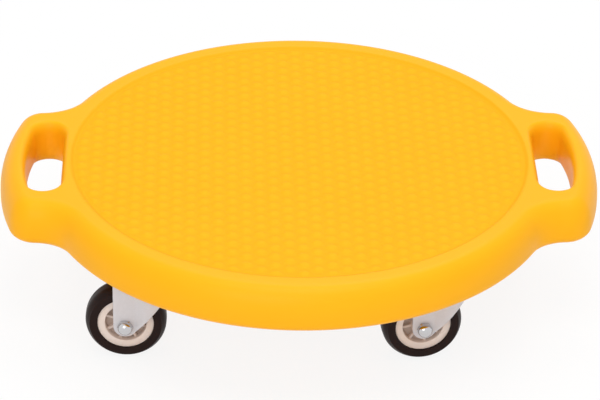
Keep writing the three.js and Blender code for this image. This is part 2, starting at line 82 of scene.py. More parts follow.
def set_fields(thing, **fields):
    """The same thing, with those fields set."""
    for field, value in fields.items():
        setattr(thing, field, value)
    return thing


def in_scene(name, data):
    """A new object with that data, linked to the scene."""
    item = bpy.data.objects.new(name, data)
    bpy.context.scene.collection.objects.link(item)
    return item


def mesh_object(name, points, faces):
    """An object at the origin whose mesh has these points, given in millimetres."""
    mesh = bpy.data.meshes.new(name)
    mesh.from_pydata((np.array(points, float) * MM).tolist(), [], faces)
    return in_scene(name, mesh)


print("amber is", [round(c, 3) for c in linear("#ffbb22")])

# %% [markdown]
# ## Camera
#
# The photograph was taken from the front with a long lens, looking down by about 31 degrees
# and leaning by less than one. The numbers below come from matching the board's outline, its
# two holes and both wheels, so the render lines up with the photograph.

# %% Camera
CAMERA_PLACE = (-65.39, -2206.12, 1399.23)
CAMERA_AZIMUTH = -1.7230
CAMERA_ELEVATION = 30.9802
CAMERA_ROLL = 0.842
CAMERA_LENS = 191.554
SENSOR_WIDTH = 36.0
FARTHEST = 20000.0

camera = in_scene("camera", bpy.data.cameras.new("camera"))
set_fields(camera.data, lens=CAMERA_LENS, sensor_width=SENSOR_WIDTH, clip_end=FARTHEST * MM)
turn = Matrix.Rotation(math.radians(CAMERA_AZIMUTH), 4, "Z")
tilt = Matrix.Rotation(math.radians(90 - CAMERA_ELEVATION), 4, "X")
lean = Matrix.Rotation(math.radians(CAMERA_ROLL), 4, "Z")
camera.matrix_world = Matrix.Translation(Vector(CAMERA_PLACE) * MM) @ turn @ tilt @ lean
bpy.context.scene.camera = camera
bpy.context.scene.view_settings.view_transform = "Standard"
looks = camera.matrix_world.to_3x3() @ Vector((0, 0, -1))
print("camera looks along", [round(v, 4) for v in looks])

# %% [markdown]
# ## Nodes
#
# A material is a small graph. One function adds a node, sets its fields, and feeds its
# inputs, so each finish below reads as a short list of steps. Inputs are given by name, or
# in their order. Most nodes are used through their first output, so a node may stand for it.


# %% One function that adds a node
def feed(tree, node, inputs):
    """Links inputs to sockets, or to a node's first output, and sets them to other values."""
    for key, value in inputs.items() if isinstance(inputs, dict) else enumerate(inputs):
        if isinstance(value, bpy.types.Node):
            value = value.outputs[0]
        if isinstance(value, bpy.types.NodeSocket):
            tree.links.new(value, node.inputs[key])
        else:
            node.inputs[key].default_value = value
    return node


def add(tree, kind, inputs=(), **fields):
    """A new node of that kind, with its fields set and its inputs fed."""
    return feed(tree, set_fields(tree.nodes.new(kind), **fields), inputs)


def finish(name):
    """An empty material, its node tree, its Principled shader and the object's own coordinates."""
    material = bpy.data.materials.new(name)
    material.use_nodes = True
    tree = material.node_tree
    tree.nodes.clear()
    shader = add(tree, "ShaderNodeBsdfPrincipled")
    add(tree, "ShaderNodeOutputMaterial", {"Surface": shader})
    return material, tree, shader, add(tree, "ShaderNodeTexCoord").outputs["Object"]


def per_metre(size_mm):
    """The texture scale at which one cell of a pattern is that many millimetres wide."""
    return 1 / (size_mm * MM)


print("a 2 mm pattern has a scale of", per_metre(2))

# %% [markdown]
# ## Blow-moulded polyethylene
#
# The board is high-density polyethylene, dyed in the mass. The colour is even, with the
# faintest drift where the wall is thicker, so a broad noise mixes two near shades. One flat
# colour would look like paint.

# %% Dye of the board
DRIFT_SIZE = 70.0

board_plastic, tree, shader, place = finish("blow_moulded_polyethylene")
drift = add(
    tree, "ShaderNodeTexNoise", {"Vector": place, "Scale": per_metre(DRIFT_SIZE), "Detail": 2.0}
)
shades = {"Factor": drift, 6: linear("#ffb210"), 7: linear("#ffb616")}
dye = add(tree, "ShaderNodeMix", shades, data_type="RGBA").outputs[2]
print("the dye drifts over", DRIFT_SIZE, "mm")

# %% [markdown]
# Painted shade darkens the tread a little between its bumps and along its border, at the foot of
# the step. An image could paint it on, but a rule keeps it sharp at any distance: the height of a
# point says whether it lies between bumps, and its distance from the middle says how near the
# border is.

# %% Painted shade on the tread
TREAD_RADIUS = 183.0
TREAD_DEPTH = 1.5
BUMP_HEIGHT = 1.0
# The width of the tread's border band, where painted shade lies and where the gloss changes, and
# how dark the painted shade gets at the border and between the bumps.
TREAD_BORDER_WIDTH = 3.2
BORDER_SHADE = 0.30
HOLLOW_SHADE = 0.22

board_low, board_high = box_mm("board")
tread_level = (board_high.z - TREAD_DEPTH) * MM
border = (TREAD_RADIUS - TREAD_BORDER_WIDTH / 2) * MM

height = add(tree, "ShaderNodeSeparateXYZ", [place]).outputs["Z"]
flat_place = add(tree, "ShaderNodeVectorMath", [place, (1, 1, 0)], operation="MULTIPLY")
reach = add(tree, "ShaderNodeVectorMath", [flat_place], operation="LENGTH").outputs["Value"]
on_tread = add(tree, "ShaderNodeMath", [reach, border], operation="LESS_THAN")
hollow = add(
    tree,
    "ShaderNodeMapRange",
    {
        "Value": height,
        "From Min": tread_level,
        "From Max": tread_level + BUMP_HEIGHT * MM,
        "To Min": HOLLOW_SHADE,
        "To Max": 0.0,
    },
)
off_border = add(tree, "ShaderNodeMath", [reach, border], operation="SUBTRACT")
off_border = add(tree, "ShaderNodeMath", [off_border], operation="ABSOLUTE")
edge = add(
    tree,
    "ShaderNodeMapRange",
    {"Value": off_border, "From Max": TREAD_BORDER_WIDTH * MM, "To Min": BORDER_SHADE, "To Max": 0.0},
    interpolation_type="SMOOTHSTEP",
)
# Painted shade: the tread is darker between its bumps and along its border, where shade falls.
painted_shade = add(tree, "ShaderNodeMath", [hollow, on_tread], operation="MULTIPLY")
painted_shade = add(tree, "ShaderNodeMath", [painted_shade, edge], operation="MAXIMUM")
top_start = tread_level - TREAD_DEPTH * MM
on_top = add(tree, "ShaderNodeMath", [height, top_start], operation="GREATER_THAN")
painted_shade = add(tree, "ShaderNodeMath", [painted_shade, on_top], operation="MULTIPLY")
# The darker orange is the colour of that painted shade.
shades = {"Factor": painted_shade, 6: dye, 7: linear("#f09a04")}
colour = add(tree, "ShaderNodeMix", shades, data_type="RGBA").outputs[2]
print("grime lies within", TREAD_BORDER_WIDTH, "mm of the tread's border, and between its bumps")

# %% [markdown]
# The mould is sand-blasted, so the skin has a fine grain: the gloss is satin and broad, with
# no sharp reflection. The tread is blasted more coarsely than the rim, which makes it
# duller. The real grain is about 0.2 mm, which no pixel here can show, so it is drawn at
# 0.9 mm.

# %% Gloss and grain of the board
GRAIN_SIZE = 0.9
GRAIN_HEIGHT = 0.03
GRAIN_STRENGTH = 0.6
GRAIN_ROUGHNESS = 0.12
TREAD_ROUGHNESS = 0.60
RIM_ROUGHNESS = 0.34
DULL_SPECULAR = 0.13

grain = add(
    tree, "ShaderNodeTexNoise", {"Vector": place, "Scale": per_metre(GRAIN_SIZE), "Detail": 3.0}
)
dullness = add(
    tree,
    "ShaderNodeMapRange",
    {
        "Value": reach,
        "From Min": border,
        "From Max": border + TREAD_BORDER_WIDTH * MM,
        "To Min": TREAD_ROUGHNESS,
        "To Max": RIM_ROUGHNESS,
    },
)
gloss = add(tree, "ShaderNodeMath", [grain, GRAIN_ROUGHNESS, dullness], operation="MULTIPLY_ADD")
bump = {"Height": grain, "Distance": GRAIN_HEIGHT * MM, "Strength": GRAIN_STRENGTH}
relief = add(tree, "ShaderNodeBump", bump)
feed(tree, shader, {"Base Color": colour, "Roughness": gloss, "Normal": relief})
feed(tree, shader, {"Specular IOR Level": DULL_SPECULAR})
print(board_plastic.name, "has", len(tree.nodes), "nodes")

# %% [markdown]
# ## Finishes that vary a little
#
# The other finishes are even skins, whose tint, gloss and relief drift together over a few
# millimetres. One function makes such a finish from one noise, and each material gives it
# the noise's size, two near shades and a range of roughness.

# %% One function for such finishes
RELIEF_STRENGTH = 0.5


def mottled(name, dark, light, size_mm, detail, smooth, rough=None, relief_mm=None):
    """A finish whose tint, gloss and relief drift with one noise, and its shader and tint."""
    material, tree, shader, place = finish(name)
    noise = {"Vector": place, "Scale": per_metre(size_mm), "Detail": detail}
    noise = add(tree, "ShaderNodeTexNoise", noise)
    shades = {"Factor": noise, 6: linear(dark), 7: linear(light)}
    tint = add(tree, "ShaderNodeMix", shades, data_type="RGBA").outputs[2]
    feed(tree, shader, {"Base Color": tint, "Roughness": smooth})
    if rough:
        gloss = add(tree, "ShaderNodeMapRange", {"Value": noise, "To Min": smooth, "To Max": rough})
        feed(tree, shader, {"Roughness": gloss})
    if relief_mm:
        bump = {"Height": noise, "Distance": relief_mm * MM, "Strength": RELIEF_STRENGTH}
        feed(tree, shader, {"Normal": add(tree, "ShaderNodeBump", bump)})
    print(name, "has", len(tree.nodes), "nodes")
    return material, shader, tint


# %% [markdown]
# ## Powder-coated steel
#
# The forks are pressed from 2 mm sheet and powder-coated off-white. Powder flows as it is
# baked and leaves an orange-peel skin, with waves about 1.5 mm long, under a fair gloss.

# %% Off-white powder coat
PEEL_SIZE = 1.6
PEEL_HEIGHT = 0.02

white_paint, *_ = mottled(
    "powder_coated_steel",
    "#d2d0d4",
    "#d9d7db",
    PEEL_SIZE,
    detail=1.0,
    smooth=0.32,
    relief_mm=PEEL_HEIGHT,
)

# %% [markdown]
# ## Moulded polypropylene
#
# The wheel centres are cream polypropylene. It is slightly waxy: smooth, with low contrast in its
# highlights. Flow in the mould leaves broad, faint changes of gloss. Painted shade darkens the
# recess on each side of the web: the colour follows "recess", an attribute of the wheel centre that
# says how deep in there a point lies, from 0 to 1.

# %% Cream polypropylene
FLOW_SIZE = 9.0
# How much painted shade darkens the cream in the deepest part of the recess.
RECESS_SHADE = 0.85

cream_plastic, shader, tint = mottled(
    "moulded_polypropylene", "#ebdacf", "#f1e2d8", FLOW_SIZE, detail=2.0, smooth=0.34, rough=0.46
)
tree = cream_plastic.node_tree
depth = add(tree, "ShaderNodeAttribute", attribute_name="recess").outputs["Fac"]
# Painted shade in the recess: the cream turns towards a dark brown where the recess is deepest.
painted_recess_shade = add(tree, "ShaderNodeMath", [depth, RECESS_SHADE], operation="MULTIPLY")
shades = {"Factor": painted_recess_shade, 6: tint, 7: linear("#ab9486")}
shaded_cream = add(tree, "ShaderNodeMix", shades, data_type="RGBA").outputs[2]
feed(tree, shader, {"Base Color": shaded_cream})
print("dust hides", RECESS_SHADE, "of the cream in the deepest places")

# %% [markdown]
# ## Black tyre
#
# The tread ring is a hard, near-black rubber compound. Its tread is rubbed to a dull sheen
# and picks up the colour of the board above it, so the roughness is moderate and not high.
# A fine speckle stands for the carbon and the dust in the skin.

# %% Black tyre rubber
SPECKLE_SIZE = 1.1
SPECKLE_HEIGHT = 0.02

black_tyre, shader, _ = mottled(
    "black_tyre_rubber",
    "#1c0f0c",
    "#261510",
    SPECKLE_SIZE,
    detail=3.0,
    smooth=0.34,
    rough=0.5,
    relief_mm=SPECKLE_HEIGHT,
)
feed(black_tyre.node_tree, shader, {"Specular IOR Level": DULL_SPECULAR})

# %% [markdown]
# ## Three metals
#
# The cap nuts and axle bolts are bright chrome plate, the pressed plates, cups and screws
# are zinc plate with its soft crystalline bloom, and the balls are plain polished steel. All
# are full metals, so the colour tints their reflections and only the roughness sets them
# apart.


# %% Chrome, zinc plate and polished steel
def metal(name, dark, light, bloom_mm, smooth, rough):
    """A full metal whose tint and gloss drift with a noise of that size."""
    material, shader, _ = mottled(
        name, dark, light, bloom_mm, detail=3.0, smooth=smooth, rough=rough
    )
    feed(material.node_tree, shader, {"Metallic": 1.0})
    return material


FINISHES = {
    "board_plastic": board_plastic,
    "white_paint": white_paint,
    "cream_plastic": cream_plastic,
    "black_tyre": black_tyre,
    "chrome": metal("bright_chrome_plate", "#c2c1c3", "#cdcccd", 6.0, 0.05, 0.11),
    "zinc_steel": metal("zinc_plated_steel", "#aeb1b5", "#c3c5c8", 2.5, 0.28, 0.42),
    "ball_steel": metal("polished_bearing_steel", "#a9abae", "#b9bbbe", 3.0, 0.14, 0.24),
}

# %% [markdown]
# ## Round shapes as lists of points
#
# Nearly every outline here is a chain of arcs that meet at a tangent, as a draughtsman draws
# it. An arc is a list of points. A revolved piece starts as a cross-section, and `rounded`
# softens its corners with small arcs, because a real moulding or pressing has no sharp ones.

# %% Arcs and rounded corners
NEARLY_STRAIGHT = math.radians(89)
REPEAT_GAP = 1e-4
QUADRANTS = ((-1, -1), (1, -1), (1, 1), (-1, 1))


def arc(centre, radius, start, end, steps):
    """Points on an arc from one angle to another, in radians, with both ends."""
    angles = np.linspace(start, end, steps + 1)
    return [(centre[0] + radius * math.cos(a), centre[1] + radius * math.sin(a)) for a in angles]


def circle(radius, steps, centre=(0, 0)):
    return arc(centre, radius, 0, 2 * math.pi, steps)[:-1]


def angle_of(start, end):
    return math.atan2(end[1] - start[1], end[0] - start[0])


def crossing(centre_a, radius_a, centre_b, radius_b):
    """The crossing of two circles to the left of the way from the first to the second."""
    reach = Vector(centre_b) - Vector(centre_a)
    distance = reach.length
    along = (distance**2 + radius_a**2 - radius_b**2) / (2 * distance)
    aside = math.sqrt(radius_a**2 - along**2)
    unit = reach / distance
    x = centre_a[0] + unit.x * along - unit.y * aside
    return (x, centre_a[1] + unit.y * along + unit.x * aside)


def without_repeats(points):
    """The same closed loop without points that repeat their neighbour."""
    pairs = zip(points, points[1:] + points[:1])
    return [point for point, following in pairs if math.dist(point, following) > REPEAT_GAP]


def rounded(corners, steps=4):
    """A closed outline from (x, y, radius) corners, with an arc at each corner."""
    points = []
    for i, (x, y, radius) in enumerate(corners):
        here = Vector((x, y))
        before = (Vector(corners[i - 1][:2]) - here).normalized()
        after = (Vector(corners[(i + 1) % len(corners)][:2]) - here).normalized()
        half = before.angle(after) / 2
        if radius <= 0 or half > NEARLY_STRAIGHT:
            points.append((x, y))
            continue
        centre = here + (before + after).normalized() * (radius / math.sin(half))
        start = here + before * (radius / math.tan(half)) - centre
        end = here + after * (radius / math.tan(half)) - centre
        sweep = math.atan2(start.x * end.y - start.y * end.x, start.dot(end))
        first = math.atan2(start.y, start.x)
        points += arc(centre, radius, first, first + sweep, steps)
    return points


def rounded_box(half_x, half_y, radius, steps=4):
    return rounded([(x * half_x, y * half_y, radius) for x, y in QUADRANTS], steps)


print("a rounded square has", len(rounded_box(9, 9, 1)), "points")

# %% [markdown]
# ## From outlines to surfaces
#
# Three ways of making a surface cover all the pieces. `bands` joins loops that have the same
# number of points, as in a loft, and `block` puts lids on it. `revolve` turns a cross-section
# about the Z or Y axis. `fill` triangulates the flat area between an outline and its holes,
# and takes extra points and rings, so that the area can be given a height afterwards.


# %% Lofts and revolves
def lifted(outline, z):
    return [(x, y, z) for x, y in outline]


def merged(*parts):
    """Several lists of points and faces as one."""
    points, faces = [], []
    for part_points, part_faces in parts:
        faces += [tuple(len(points) + i for i in face) for face in part_faces]
        points += part_points
    return points, faces


def bands(loops):
    """Points and faces of the surface through closed loops, each a list of (x, y, z)."""
    count = len(loops[0])
    faces = []
    for first in range(0, count * (len(loops) - 1), count):
        for i in range(count):
            a, b = first + i, first + (i + 1) % count
            faces.append((a, b, b + count, a + count))
    return [p for loop in loops for p in loop], faces


def block(loops):
    """The same surface, with a flat lid over its first and its last loop."""
    points, faces = bands(loops)
    count = len(loops[0])
    return points, faces + [tuple(range(count))[::-1], tuple(range(len(points)))[-count:]]


def revolve(profile, steps, axis="Z", centre=(0, 0, 0)):
    """A closed profile of (radius, height) turned about an axis. A radius of zero makes a pole."""
    points, faces, rings = [], [], []
    for radius, height in profile:
        count = steps if radius > 0 else 1
        rings.append(range(len(points), len(points) + count))
        for i in range(count):
            a = 2 * math.pi * i / steps
            x, y = radius * math.cos(a), radius * math.sin(a)
            points.append((x, y, height) if axis == "Z" else (x, height, -y))
    for ring, following in zip(rings, rings[1:] + rings[:1]):
        if len(ring) == len(following) == 1:
            continue
        for i in range(steps):
            j = (i + 1) % steps
            a, b = ring[i % len(ring)], ring[j % len(ring)]
            c, d = following[j % len(following)], following[i % len(following)]
            faces.append(tuple(dict.fromkeys((a, b, c, d))))
    return (np.array(points) + centre).tolist(), faces


print("a cone of 12 steps has", len(revolve([(0, 0), (5, 0), (0, 9)], 12)[1]), "faces")

# %% Flat fills and soft steps
FILL_TOLERANCE = 1e-6


def inside(points, loop):
    """Which points lie inside a closed loop, by how often it passes to their right."""
    x, y = points[:, 0], points[:, 1]
    result = np.zeros(len(points), bool)
    for (x0, y0), (x1, y1) in zip(loop, loop[1:] + loop[:1]):
        if y0 != y1:
            spans = (y0 > y) != (y1 > y)
            result ^= spans & (x < (x1 - x0) * (y - y0) / (y1 - y0) + x0)
    return result


def fill(outline, holes=(), rings=(), dots=()):
    """Flat points and upward triangles between an outline and its holes, through rings and dots."""
    points, edges = [], []
    for loop in (outline, *holes, *rings):
        first = len(points)
        points += loop
        edges += [(first + i, first + (i + 1) % len(loop)) for i in range(len(loop))]
    corners = [Vector(p) for p in (*points, *dots)]
    made = delaunay_2d_cdt(corners, edges, [], 0, FILL_TOLERANCE, False)
    flat = np.array([tuple(v) for v in made[0]])
    faces = np.array([tuple(f) for f in made[2]])
    middles = flat[faces].mean(axis=1)
    keep = inside(middles, outline)
    for hole in holes:
        keep &= ~inside(middles, hole)
    return flat, faces[keep].tolist()


def from_middle(flat):
    """How far flat points lie from the middle."""
    return np.hypot(flat[:, 0], flat[:, 1])


def soft_step(distance, width):
    """A ramp from 0 to 1 over a width, level at both ends."""
    share = np.clip(distance / width, 0, 1)
    return share * share * (3 - 2 * share)


print("a washer fills with", len(fill(circle(5, 12), [circle(2, 12)])[1]), "triangles")

# %% [markdown]
# ## Finishing a mesh
#
# Every piece ends the same way: doubled points are merged, faces are turned outwards, the shading
# is smooth except over real edges, and the piece gets its material. Then it is attached to the body
# that it rides on, and the CAD nodes that it replaces are hidden.

# %% Clean, bake, dress and register a piece
MERGE_GAP = 0.002
EDGE_DEGREES = 35


def shape(name, points, faces):
    """A mesh object whose doubled points are merged and whose faces point outwards."""
    piece = mesh_object(name, points, faces)
    work = bmesh.new()
    work.from_mesh(piece.data)
    bmesh.ops.remove_doubles(work, verts=work.verts, dist=MERGE_GAP * MM)
    bmesh.ops.recalc_face_normals(work, faces=work.faces)
    work.to_mesh(piece.data)
    work.free()
    return piece


def modify(piece, kind, **fields):
    """A new modifier of that kind, with its settings."""
    return set_fields(piece.modifiers.new(kind.lower(), kind), **fields)


def bake(piece):
    """Replaces a piece's mesh by the plain mesh that its modifiers make."""
    graph = bpy.context.evaluated_depsgraph_get()
    mesh = bpy.data.meshes.new_from_object(piece.evaluated_get(graph))
    piece.modifiers.clear()
    piece.data = mesh


def dress(piece, slot, edge_degrees=EDGE_DEGREES):
    """Smooth shading that stays sharp over steeper edges, and the slot's finish."""
    mesh = piece.data
    mesh.shade_smooth()
    mesh.set_sharp_from_angle(angle=math.radians(edge_degrees))
    mesh.materials.clear()
    mesh.materials.append(FINISHES[slot])


def register(piece, body, slot, *replaced):
    """Attaches a piece to the body that it rides on and hides the CAD nodes that it replaces; the
    slot is not used.
    """
    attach(piece, body)
    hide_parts(*replaced)


def copy_to(piece, name, way=Matrix.Identity(4)):
    """A copy of a piece whose mesh is moved and turned by a matrix."""
    mesh = piece.data.copy()
    mesh.name = name
    mesh.transform(way)
    return in_scene(name, mesh)


print("points closer than", MERGE_GAP, "mm become one")

# %% [markdown]
# ## The board's outline
#
# Seen from above, the board is a disc with a lobe at each end. Tangent arcs make it: the
# gently curved end of a lobe, the lobe's corner, the hollow neck, and the disc. Drawing the
# outline in by a distance only changes the radii, so every level of the rim has matching
# points. The length and the heights come from the CAD board.

# %% Sizes of the board, and its outline
DISC_RADIUS = 206.5
END_RADIUS = 222.0
LOBE_CORNER_RADIUS = 22.5
LOBE_CORNER_OFFSET = 58.5
NECK_RADIUS = 31.0
END_STEPS = 14
LOBE_STEPS = 12
NECK_STEPS = 10
DISC_STEPS = 40

half_length = board_high.x
underside_z = board_low.z
top_z = board_high.z


def mirrored_loop(quarter):
    """A closed loop from its first quarter, mirrored in both axes."""
    half = quarter + [(-x, y) for x, y in reversed(quarter)]
    return without_repeats(half + [(x, -y) for x, y in reversed(half)])


def board_outline(inset):
    """The board's outline, drawn in by a distance."""
    end = (half_length - END_RADIUS, 0)
    reach = END_RADIUS - LOBE_CORNER_RADIUS
    corner = (end[0] + math.sqrt(reach**2 - LOBE_CORNER_OFFSET**2), LOBE_CORNER_OFFSET)
    neck = crossing((0, 0), DISC_RADIUS + NECK_RADIUS, corner, LOBE_CORNER_RADIUS + NECK_RADIUS)
    end_angle, neck_angle = angle_of(end, corner), angle_of((0, 0), neck)
    lobe_end, neck_start = angle_of(corner, neck), angle_of(neck, corner)
    return mirrored_loop(
        arc(end, END_RADIUS - inset, 0, end_angle, END_STEPS)
        + arc(corner, LOBE_CORNER_RADIUS - inset, end_angle, lobe_end, LOBE_STEPS)
        + arc(neck, NECK_RADIUS + inset, neck_start, neck_angle - math.pi, NECK_STEPS)
        + arc((0, 0), DISC_RADIUS - inset, neck_angle, math.pi / 2, DISC_STEPS)
    )


print("outline points:", len(board_outline(0)), "length:", round(2 * half_length, 1), "mm")

# %% [markdown]
# ## The hand holes
#
# Each hole has a straight inner edge, and an outer edge that runs alongside the board's end,
# which leaves a grip of even width. Two arcs make each end of the hole. Its walls roll over
# at the top and at the bottom, because the mould rounds the grip for the fingers, and stand
# upright between the two rolls.

# %% Hand hole outline and walls
HAND_HOLE_LAND = 1.5
HAND_HOLE_ROLL = 6.0
HAND_HOLE_ROLL_WIDTH = 5.0
HAND_HOLE_ROLL_HEIGHT = 9.5
HAND_HOLE_TIP_OFFSET = 40.0
HAND_HOLE_INNER_CORNER = 20.0
HAND_HOLE_OUTER_CORNER = 10.5
GRIP_WIDTH = 21.6
HOLE_STEPS = 14
HOLE_ROLL_STEPS = 14
STRAIGHT_STEPS = 8

hole_inner_edge = TREAD_RADIUS + HAND_HOLE_LAND + HAND_HOLE_ROLL


def hand_hole_outline(growth, side):
    """A hole's outline, widened by a growth. Side is 1 for the right hole and -1 for the left."""
    end = (half_length - END_RADIUS, 0)
    edge_radius = END_RADIUS - GRIP_WIDTH
    reach = edge_radius - HAND_HOLE_OUTER_CORNER
    outer = (end[0] + math.sqrt(reach**2 - HAND_HOLE_TIP_OFFSET**2), HAND_HOLE_TIP_OFFSET)
    inner_x = hole_inner_edge + HAND_HOLE_INNER_CORNER
    step = HAND_HOLE_INNER_CORNER - HAND_HOLE_OUTER_CORNER
    inner = (inner_x, outer[1] - math.sqrt(step**2 - (inner_x - outer[0]) ** 2))
    end_angle, tip_angle = angle_of(end, outer), angle_of(inner, outer)
    half = (
        arc(end, edge_radius + growth, 0, end_angle, HOLE_STEPS)
        + arc(outer, HAND_HOLE_OUTER_CORNER + growth, end_angle, tip_angle, HOLE_STEPS)
        + arc(inner, HAND_HOLE_INNER_CORNER + growth, tip_angle, math.pi, HOLE_STEPS)
    )
    last_x, last_y = half[-1]
    straight = [(last_x, y) for y in np.linspace(last_y, -last_y, STRAIGHT_STEPS + 1)[1:-1]]
    loop = without_repeats(half + straight + [(x, -y) for x, y in reversed(half)])
    return [(side * x, y) for x, y in loop]


def hole_walls(side):
    """The loops of one hole's walls, from the underside up to the top."""
    middle = (underside_z + top_z) / 2
    upright = (top_z - underside_z) / 2 - HAND_HOLE_ROLL_HEIGHT
    angles = np.linspace(0, math.pi / 2, HOLE_ROLL_STEPS + 1)
    loops = []
    for way, order in ((-1, angles[::-1]), (1, angles)):
        for a in order:
            outline = hand_hole_outline(HAND_HOLE_ROLL - HAND_HOLE_ROLL_WIDTH * math.cos(a), side)
            height = middle + way * (upright + HAND_HOLE_ROLL_HEIGHT * math.sin(a))
            loops.append(lifted(outline, height))
    return loops


print("hole points:", len(hand_hole_outline(0, 1)))

# %% [markdown]
# ## The board's skin
#
# The rim is lofted from the underside's small corner, over a short upright band, to the
# broad roll at the top.

# %% Rim
RIM_ROLL_WIDTH = 15.0
RIM_FLAT_HEIGHT = 3.5
UNDERSIDE_CORNER_RADIUS = 8.5
ROLL_STEPS = 18
CORNER_STEPS = 8

roll_height = top_z - underside_z - UNDERSIDE_CORNER_RADIUS - RIM_FLAT_HEIGHT
rim_loops = []
for a in np.linspace(0, math.pi / 2, CORNER_STEPS + 1):
    outline = board_outline(UNDERSIDE_CORNER_RADIUS * (1 - math.sin(a)))
    rim_loops.append(lifted(outline, underside_z + UNDERSIDE_CORNER_RADIUS * (1 - math.cos(a))))
for a in np.linspace(0, math.pi / 2, ROLL_STEPS + 1):
    outline = board_outline(RIM_ROLL_WIDTH * (1 - math.cos(a)))
    rim_loops.append(lifted(outline, top_z - roll_height * (1 - math.sin(a))))
print("the rim has", len(rim_loops), "levels")

# %% [markdown]
# The flat top is filled between the rim, the hole mouths and the rings of the tread's step.
# Inside the tread, it is filled through a fine triangular grid of points, which the non-slip
# pattern needs: it has eight points to each bump, in step with the bumps, so that all bumps
# come out alike.

# %% Top and underside
STEP_OUT = 0.4
STEP_IN = 3.4
STEP_RINGS = 9
RING_STEPS = 420
BUMP_PITCH = 12.5
POINTS_PER_BUMP = 8
SUPPORT_GAP = 0.2
GRID_GAP = 1.0


def grid_points(reach):
    """A triangular grid of points inside a circle, in step with the bumps."""
    step = BUMP_PITCH / POINTS_PER_BUMP
    row = step * math.sqrt(3) / 2
    rows = int(reach / row) + 1
    columns = int(reach / step) + 1
    points = []
    for i in range(-rows, rows + 1):
        shift = (i % 2) * step / 2
        points += [(i * row, j * step + shift) for j in range(-columns, columns + 1)]
    return [p for p in points if math.hypot(*p) < reach]


slope = np.linspace(TREAD_RADIUS + STEP_OUT, TREAD_RADIUS - STEP_IN, STEP_RINGS)
step_radii = [slope[0] + SUPPORT_GAP, *slope, slope[-1] - SUPPORT_GAP]
mouths = [hand_hole_outline(HAND_HOLE_ROLL, side) for side in (1, -1)]
rings = [board_outline(RIM_ROLL_WIDTH + SUPPORT_GAP)]
rings += [hand_hole_outline(HAND_HOLE_ROLL + SUPPORT_GAP, side) for side in (1, -1)]
rings += [circle(radius, RING_STEPS) for radius in step_radii]
tread_points = grid_points(slope[-1] - GRID_GAP)
top_flat, top_faces = fill(board_outline(RIM_ROLL_WIDTH), mouths, rings, tread_points)
bottom_flat, bottom_faces = fill(board_outline(UNDERSIDE_CORNER_RADIUS), mouths)
print("tread grid:", len(tread_points), "points; top:", len(top_faces), "triangles")

# %% [markdown]
# The top is pressed down by one soft step inside the tread. Then all the parts of the skin
# are put into one mesh. The fills share their border points with the lofts, so merging
# doubled points closes it.

# %% Join the skin
below_rim = TREAD_DEPTH * soft_step(slope[0] - from_middle(top_flat), STEP_OUT + STEP_IN)
top_points = np.column_stack([top_flat, top_z - below_rim]).tolist()
board_skin = shape(
    "board_skin",
    *merged(
        bands(rim_loops),
        *(bands(hole_walls(side)) for side in (1, -1)),
        (top_points, top_faces),
        (lifted(bottom_flat.tolist(), underside_z), [f[::-1] for f in bottom_faces]),
    ),
)
work = bmesh.new()
work.from_mesh(board_skin.data)
open_edges = sum(not edge.is_manifold for edge in work.edges)
work.free()
print("board skin:", len(board_skin.data.polygons), "faces, open edges:", open_edges)

# %% [markdown]
# ## Geometry Nodes
#
# What follows a rule, or repeats, is made by a small tree of nodes. Its sizes are named
# inputs, so one tree can serve pieces that differ, as the four wheels do. Every tree ends by
# making real geometry of its copies and by setting their material, and the result is baked
# to a plain mesh.


# %% Open, close and run a tree
def new_tree(name, *sizes):
    """An empty geometry tree with those named inputs, and what its input node gives."""
    tree = bpy.data.node_groups.new(name, "GeometryNodeTree")
    tree.interface.new_socket("Geometry", in_out="INPUT", socket_type="NodeSocketGeometry")
    for size in sizes:
        tree.interface.new_socket(size, in_out="INPUT", socket_type="NodeSocketFloat")
    tree.interface.new_socket("Geometry", in_out="OUTPUT", socket_type="NodeSocketGeometry")
    return tree, add(tree, "NodeGroupInput").outputs


def close_tree(tree, geometry, slot):
    """Ends a tree in real geometry with the slot's finish on it."""
    real = add(tree, "GeometryNodeRealizeInstances", [geometry])
    painted = {"Geometry": real, "Material": FINISHES[slot]}
    add(tree, "NodeGroupOutput", [add(tree, "GeometryNodeSetMaterial", painted)])
    print(tree.name, "has", len(tree.nodes), "nodes")


def with_input(tree, given, geometry):
    """What a tree makes, joined to the geometry that it is given."""
    return feed(tree, add(tree, "GeometryNodeJoinGeometry", [geometry]), [given["Geometry"]])


def run_tree(piece, tree, **sizes):
    """Puts a tree on a piece, sets its inputs by their identifiers, and bakes the result."""
    modifier = modify(piece, "NODES", node_group=tree)
    for item in tree.interface.items_tree:
        if item.in_out == "INPUT" and item.name in sizes:
            modifier[item.identifier] = sizes[item.name]
    bake(piece)


# %% [markdown]
# ## The non-slip pattern
#
# Low round bumps lie all over the tread, on a triangular lattice with one bump every
# 12.5 mm. They follow a rule: the position of each point is wrapped into the cell of one
# rectangular lattice, and again into that of a second one that is shifted by half a cell.
# The nearer of the two cell centres is the nearest bump.

# %% The distance to the nearest bump
FLAT_TOP = 0.3

